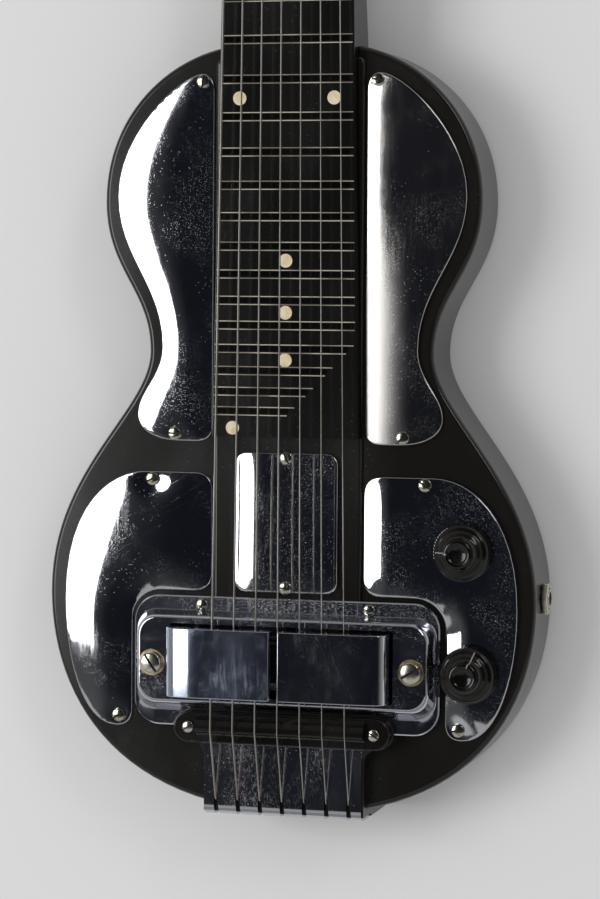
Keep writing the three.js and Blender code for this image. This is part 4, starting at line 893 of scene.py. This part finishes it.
# Half width, near edge, far edge, corner radius and height of each level of the pan.
pan_layers = [
    (72.8, 4.4, 65, 12, 41.4),
    (72.8, 4.4, 65, 12, 44.1),
    (72.2, 5.0, 64.4, 11.4, 44.65),
    (71.4, 11.4, 58.6, 9, 44.65),
    (70.9, 12.1, 58.2, 9, 45.3),
    (69.6, 15.2, 56.9, 9, 50.8),
    (69.1, 16.0, 56.4, 9, 52.2),
    (68.2, 17.1, 55.5, 8.4, 52.85),
    (67.6, 17.6, 55, 8, 53.0),
]
pan = bmesh.new()
rings = []
for half, y0, y1, radius, z in pan_layers:
    rings.append([pan.verts.new((p.x, p.y, z)) for p in rounded_outline(-half, half, y0, y1, radius)])
skin(pan, rings)
opening = block(rounded_outline(-52.9, 52.9, 19.4, 53.0, 1, 2), 30, 60)
underside = block(rounded_outline(-66.4, 66.4, 18.8, 53.8, 7, 6), 30, 51.8)
flange_underside = block(rounded_outline(-71.6, 71.6, 5.6, 63.8, 10.8, 6), 30, 43.45)
bridge_room = block(both_sides(tail_half), 30, 60)
pan = carve(pan, [flange_underside, underside, opening, bridge_room])
piece("pickup_pan_pressing", pan, pan_chrome, stands_for=["pickup_pan"], smooth=40)


def bent_bar(side):
    """A flat bar bent to a U on its side: its profile in x and z, drawn out along y."""
    half, top, bottom, stock = 52.0, 66.5, 28.5, 6.35
    inner_end = 2.1
    outer, inner = 5.0, 1.9
    wall_x = half - stock
    crown = [(52, 60), (51.9, 61.5), (51.4, 63.0), (50.3, 64.2), (48.5, 65.15), (46, 65.8)]
    crown += [(43, 66.22), (40, 66.42), (36, 66.5)]
    profile = [(inner_end, bottom), *arc(half - outer, bottom + outer, outer, -90, 0), *crown]
    profile += [(inner_end, top), (inner_end, top - stock)]
    profile += arc(wall_x - inner, top - stock - inner, inner, 90, 0)
    profile += arc(wall_x - inner, bottom + stock + inner, inner, 0, -90)
    profile += [(inner_end, bottom + stock)]
    bm = extruded([(side * x, 20.33, z) for x, z in profile], (0, 31.75, 0))
    soften(bm, sharp_edges(bm, 50), 0.45, 3)
    return bm


# Both bars are the same chrome; the bass bar's bluer tint is a painted reflection of the blue sheen it
# shows.
magnet_looks_with_painted_tint = {
    "bass": dict(tint=(0.56, 0.62, 0.76, 1), haze=0.14, fleck=0.25, gloss=0.07),
    "treble": dict(tint=(0.6, 0.61, 0.66, 1), haze=0.1, fleck=0.2, gloss=0.05),
}
for side, side_name in sides:
    node_name = f"magnet_{side_name}"
    metal = chrome(f"magnet_chrome_{side_name}", streak=(1, 0.5, 1), **magnet_looks_with_painted_tint[side_name])
    piece(f"{node_name}_bar", bent_bar(side), metal, stands_for=[node_name])

brass_shades = (0.56, 0.46, 0.29, 1), (0.26, 0.19, 0.1, 1)
brass = mottled("worn_brass", (420, 3), (0.4, 0.7), *brass_shades, gloss=0.22, drift=0.2, metallic=1.0)
nickel_shades = (0.72, 0.69, 0.62, 1), (0.4, 0.34, 0.24, 1)
bright_nickel = mottled(
    "bright_nickel", (520, 3), (0.5, 0.75), *nickel_shades, gloss=0.1, drift=0.18, metallic=1.0
)
pickup_screw = dict(radius=4.9, rise=2.1, slot=1.2, dome=0.45, shank=2.5, length=21)
screw_turns = {"bass": 0.61, "treble": -1.05}
for side, side_name in sides:
    x, y = side * 61.5, 34.5
    washer = rod(6.15, 0.9, 48, (x, y, 53.25))
    round_rim(washer, 54.15, 0.35, 3, 30)
    collar = rod(5.4, 0.7, 48, (x, y, 54.05), top=5.2)
    washer = carve(washer, [collar], "UNION")
    washer = carve(washer, [rod(2.9, 6, 24, (x, y, 50))])
    node_name = f"pickup_washer_{side_name}"
    piece(f"{node_name}_ring", washer, brass, stands_for=[node_name])
    head = slotted_screw(screw_turns[side_name], (x, y, 54.7), **pickup_screw)
    node_name = f"pickup_screw_{side_name}"
    screw_piece(f"{node_name}_head", head, bright_nickel, [node_name])


def refined(node_name, bevel):
    """A copy of a CAD node in millimetres, with its edges merged and slightly rounded."""
    bm = bmesh.new()
    bm.from_mesh(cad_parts[node_name].data)
    bmesh.ops.scale(bm, vec=(1000, 1000, 1000), verts=bm.verts)
    bmesh.ops.remove_doubles(bm, verts=bm.verts, dist=1e-3)
    bmesh.ops.dissolve_limit(bm, angle_limit=math.radians(1), verts=bm.verts, edges=bm.edges)
    if bevel:
        soften(bm, sharp_edges(bm, 45), bevel, 2, clamp=True)
    return bm


def refined_piece(node_name, ending, bevel, material, body="guitar"):
    """Sets a refined copy of a CAD node in its place."""
    piece(f"{node_name}_{ending}", refined(node_name, bevel), material, body, [node_name])


trim_black = black_plastic("trim_moulding", (0.008, 0.007, 0.006, 1), sheen=0.2, wear=1.3)
copper, nodes, vary = finish("enamelled_copper", (0.3, 0.1, 0.04, 1), 0.35, 0.6)
turns = nodes.node("TexWave", {"Vector": nodes.place(), "Scale": 1400.0}, bands_direction="Z")
vary(Base_Color=nodes.mix(turns, (0.34, 0.12, 0.05, 1), (0.12, 0.035, 0.015, 1)), Bump=(turns, 0.00008))
refined_piece("pickup_coil", "winding", 0.8, copper)
refined_piece("pickup_bobbin", "moulding", 0.3, trim_black)

# Bridge. A black moulded bar with a raised crest for the strings and two round ears, each screwed
# down through the tailpiece.
crest_profile = [
    (-2.2, 48.8), (-2.2, 51.9), (-1.9, 52.5), (-1.2, 52.75), (1.6, 52.6), (2.4, 53.3), (3.2, 56.2),
    (3.8, 57.0), (4.5, 57.2), (5.3, 57.05), (7.2, 56.3), (9.6, 54.4), (11.2, 52.9), (12.1, 51.9),
    (12.4, 51.0), (12.4, 48.8),
]
bridge = extruded([(-40, y, z) for y, z in crest_profile], (80, 0, 0))
ear_outline = rounded_outline(-51.4, 51.4, -2.2, 12.4, 7.05, 10)
ears = block(ear_outline, 48.8, 52.4, top_round=1.0, bottom_round=0.3)
bridge = carve(bridge, [ears], "UNION")
bridge_black = black_plastic("bridge_moulding", (0.006, 0.0052, 0.0044, 1), sheen=0.1, wear=1.8)
piece("bridge_bar", bridge, bridge_black, stands_for=["bridge"], smooth=28)
bridge_screw = dict(radius=2.7, rise=1.4, slot=0.7, dome=0.45, shank=1.25, length=12)
for side, side_name in sides:
    head = slotted_screw(side, (side * 44.1, 5.1, 52.35), **bridge_screw)
    node_name = f"bridge_screw_{side_name}"
    screw_piece(f"{node_name}_head", head, bright_nickel, stands_for=[node_name])

# Tailpiece. One chromed sheet lies under the bridge, runs back over the tail block, folds down behind
# it and is slotted for the strings, whose ball ends catch under the fold.
tail_tint = (0.54, 0.55, 0.6, 1)
tail_chrome = chrome("tailpiece_chrome", tail_tint, haze=0.12, fleck=0.6, gloss=0.05, grime=0.5)
fold_radius = 5.0
sheet = 1.4
tail_top = 48.55
tail_width = 75
string_gap = 10.55
string_places = [string_gap * (k - 3) for k in range(7)]
outer_arc = arc(-31, tail_top - fold_radius, fold_radius, 180, 90, 10)
inner_arc = arc(-31, tail_top - fold_radius, fold_radius - sheet, 90, 180, 10)
fold = [(-36, 32), *outer_arc, (-8, tail_top), (-8, tail_top - sheet), *inner_arc, (-36 + sheet, 32)]
tailpiece = extruded([(-tail_width / 2, y, z) for y, z in fold], (tail_width, 0, 0))
bed_half = points_along(
    (0, -12),
    ((37.5, -12),),
    ((37.5, -10),),
    ((37.5, -5), (39.6, -2.2), (44.1, -2.2)),
    ((48.13, -2.2), (51.4, 1.07), (51.4, 5.1)),
    ((51.4, 9.13), (48.13, 12.4), (44.1, 12.4)),
    ((0, 12.4),),
    steps=8,
)
bed = block(both_sides(bed_half), tail_top - sheet, tail_top)
slots = [brick(x - 1.05, x + 1.05, -40, -26.4, 37, 52) for x in string_places]
tailpiece = carve(tailpiece, [bed], "UNION")
tailpiece = carve(tailpiece, slots)
soften(tailpiece, sharp_edges(tailpiece, 50), 0.25, 2, clamp=True)
piece("tailpiece_sheet", tailpiece, tail_chrome, stands_for=["tailpiece"])

# Knobs. Two black moulded knobs with a ribbed skirt, a waist and a dished top, pushed on the shafts of
# the volume and tone pots, each with a painted pointer line.
knob_seat = 44.0
knob_shades = (0.0034, 0.003, 0.0026, 1), (0.01, 0.009, 0.008, 1)
knob_black = mottled("knob_phenolic", (120, 3), (0.5, 0.75), *knob_shades, gloss=0.05, drift=0.12)
knob_top = [
    (0, 14.4), (3.4, 14.4), (4.2, 14.8), (4.9, 15.35), (5.8, 15.4), (6.4, 15.0), (6.6, 14.2),
    (6.7, 11.4), (7.2, 10.2), (8.4, 9.5), (9.4, 9.2), (9.8, 8.6), (10.6, 8.2), (11.6, 7.9),
    (12.2, 7.4), (12.3, 6.9),
]
knob_skirt = [(12.7, 6.6), (13.0, 6.0), (13.1, 5.0), (13.1, 1.0), (12.8, 0.1), (12.3, 0.0)]
knob_inside = [(8.6, 0.0), (8.6, 5.4), (3.3, 5.4), (3.3, 12.8), (0, 12.8)]
rib_count = 56
shaft_foot = 32
shaft_top = knob_seat + 12.5

pointer_white, nodes, vary = finish("pointer_paint", (0.3, 0.29, 0.26, 1), 0.5)
vary(Base_Color=nodes.mix(nodes.noise(900, 2), (0.16, 0.15, 0.13, 1), (0.4, 0.39, 0.35, 1)))
line_edge = [(r, z) for r, z in knob_top if 4.5 < r < 12]
line_depth = [(r - 0.4, z - 0.4) for r, z in reversed(line_edge)]
line_profile = [(r + 0.08, z + 0.08) for r, z in line_edge] + line_depth
for name, (x, y), points_to in (
    ("volume", (83.5, 89.3), math.pi),
    ("tone", (86.5, 33.8), math.radians(70)),
):
    body_name = f"{name}_control"
    knob = turned(knob_top + knob_skirt + knob_inside, 2 * rib_count)
    ribbed = [v for v in knob.verts if Vector(v.co[:2]).length > 12.95 and 0.5 < v.co.z < 6.4]
    for v in ribbed:
        angle = math.atan2(v.co.y, v.co.x)
        v.co.xy *= 1 - 0.032 * (0.5 - 0.5 * math.cos(angle * rib_count))
    bmesh.ops.translate(knob, verts=knob.verts, vec=(x, y, knob_seat))
    piece(f"{name}_knob_moulding", knob, knob_black, body_name, [f"{name}_knob"], 40)
    mark = extruded([(r, -0.25, z) for r, z in line_profile], (0, 0.5, 0))
    bmesh.ops.rotate(mark, verts=mark.verts, matrix=Matrix.Rotation(points_to, 3, "Z"))
    bmesh.ops.translate(mark, verts=mark.verts, vec=(x, y, knob_seat))
    piece(f"{name}_pointer", mark, pointer_white, body_name)
    shaft = rod(3, shaft_top - shaft_foot, 32, (x, y, shaft_foot))
    piece(f"{name}_shaft_rod", shaft, steel, body_name, [f"{name}_shaft"])
    refined_piece(f"{name}_pot", "can", 0.3, steel)

# Output socket. Its nickel-plated bushing comes through the treble wall of the body, and a hexagon nut
# on its thread clamps it there.
refined_piece("output_jack", "barrel", 0.2, bright_nickel)
jack_nut = refined("output_jack_nut", 0.5)
piece("output_jack_hexagon", jack_nut, bright_nickel, stands_for=["output_jack_nut"])

# Nut. A black moulded bar, set across the head end of the fretboard and slotted for the seven
# strings.
refined_piece("nut", "bar", 0.3, trim_black)

# Tuning machines. Nickel-plated strips under the head carry seven worms, each on the shaft of an
# ivory-coloured button, and each turns the gear wheel on the lower end of a string post.
machine_screw = dict(radius=2.2, rise=1.2, slot=0.6, dome=0.7, shank=1.0, length=8)
for _, side_name in sides:
    refined_piece(f"tuner_plate_{side_name}", "strip", 0.2, bright_nickel)
plate_ends = ((-1, (597.5, 693.5)), (1, (610.5, 680.5)))
screw_places = [(side * x, y) for side, ends in plate_ends for x in (20, 33) for y in ends]
for index, (x, y) in enumerate(screw_places):
    head = slotted_screw(0.6 * index, (x, y, 24.5), **machine_screw, points_up=True)
    screw_piece(f"machine_screw_{index + 1}", head)
ivory_shades = (0.7, 0.62, 0.46, 1), (0.55, 0.44, 0.27, 1)
ivory = mottled("aged_ivory", (90, 4), (0.3, 0.7), *ivory_shades, gloss=0.22, drift=0.2)
worm_offset = 7.1
worm_height = 21.05
button_reach = 22.5
for index, (x, y) in enumerate(posts, 1):
    side = -1 if x < 0 else 1
    worm_y = y - worm_offset
    refined_piece(f"tuner_gear_{index}", "wheel", 0.12, bright_nickel, f"tuner_post_{index}")
    button = bmesh.new()
    bmesh.ops.create_uvsphere(button, u_segments=32, v_segments=20, radius=1)
    bmesh.ops.scale(button, verts=button.verts, vec=(7, 7.5, 3.2))
    bmesh.ops.translate(button, verts=button.verts, vec=(x + side * button_reach, worm_y, worm_height))
    collar = rod(2.6, 3.5, 24, (x + (15.2 if side > 0 else -18.7), worm_y, worm_height), "X")
    button = carve(button, [collar], "UNION")
    button_body = f"tuner_button_{index}"
    piece(f"{button_body}_grip", button, ivory, button_body)
    refined_piece(f"tuner_worm_{index}", "shaft", 0, bright_nickel, button_body)

# Strings. Seven steel strings, thinner one by one towards the treble, each run from a ball under the
# tailpiece's fold over the bridge and the nut to two turns on its post.
string_shades = (0.58, 0.56, 0.53, 1), (0.36, 0.33, 0.28, 1)
string_pattern = (60, 3, (1, 0.3, 1))
string_steel = mottled(
    "string_steel", string_pattern, (0.35, 0.7), *string_shades, gloss=0.26, drift=0.16, metallic=1.0
)
diameters = [1.0, 0.9, 0.8, 0.7, 0.6, 0.5, 0.45]
crest_gap = 10.6
crest_y = 4.5
crest_top = 57.45
nut_gap = 7.95
nut_top = 58.25
wrap_height = 47
turns_on_post = 2
steps_a_turn = 24
for index, (diameter, (x, y)) in enumerate(zip(diameters, posts)):
    radius = diameter / 2
    offset = index - 3
    ball = (offset * string_gap, -31.2, 41.6)
    route = [
        ball,
        (offset * string_gap, -27.75 - radius, tail_top + radius),
        (offset * crest_gap, crest_y, crest_top + radius),
        (offset * nut_gap, scale_length + nut_depth, nut_top + radius),
    ]
    wrap = post_radius + radius
    start = 0 if x < 0 else math.pi
    way = 1 if x < 0 else -1
    for step in range(turns_on_post * steps_a_turn + 1):
        turn = step / steps_a_turn
        angle = start + way * turn * 2 * math.pi
        across_post = (x + wrap * math.cos(angle), y + wrap * math.sin(angle))
        route.append((*across_post, wrap_height + turn * (diameter + 0.5)))
    data = bpy.data.curves.new("string_line", "CURVE")
    data.dimensions = "3D"
    spline = data.splines.new("POLY")
    spline.points.add(len(route) - 1)
    for point, place in zip(spline.points, route):
        point.co = (*place, 1)
    data.bevel_depth = radius
    data.bevel_resolution = 2
    data.use_fill_caps = True
    line = bpy.data.objects.new("string_line", data)
    scene.collection.objects.link(line)
    string = bmesh.new()
    string.from_mesh(line.evaluated_get(bpy.context.evaluated_depsgraph_get()).to_mesh())
    bpy.data.objects.remove(line)
    bpy.data.curves.remove(data)
    at_ball = Matrix.Translation(ball)
    bmesh.ops.create_uvsphere(string, u_segments=16, v_segments=10, radius=2, matrix=at_ball)
    node_name = f"string_{index + 1}"
    piece(f"{node_name}_wire", string, string_steel, stands_for=[node_name])
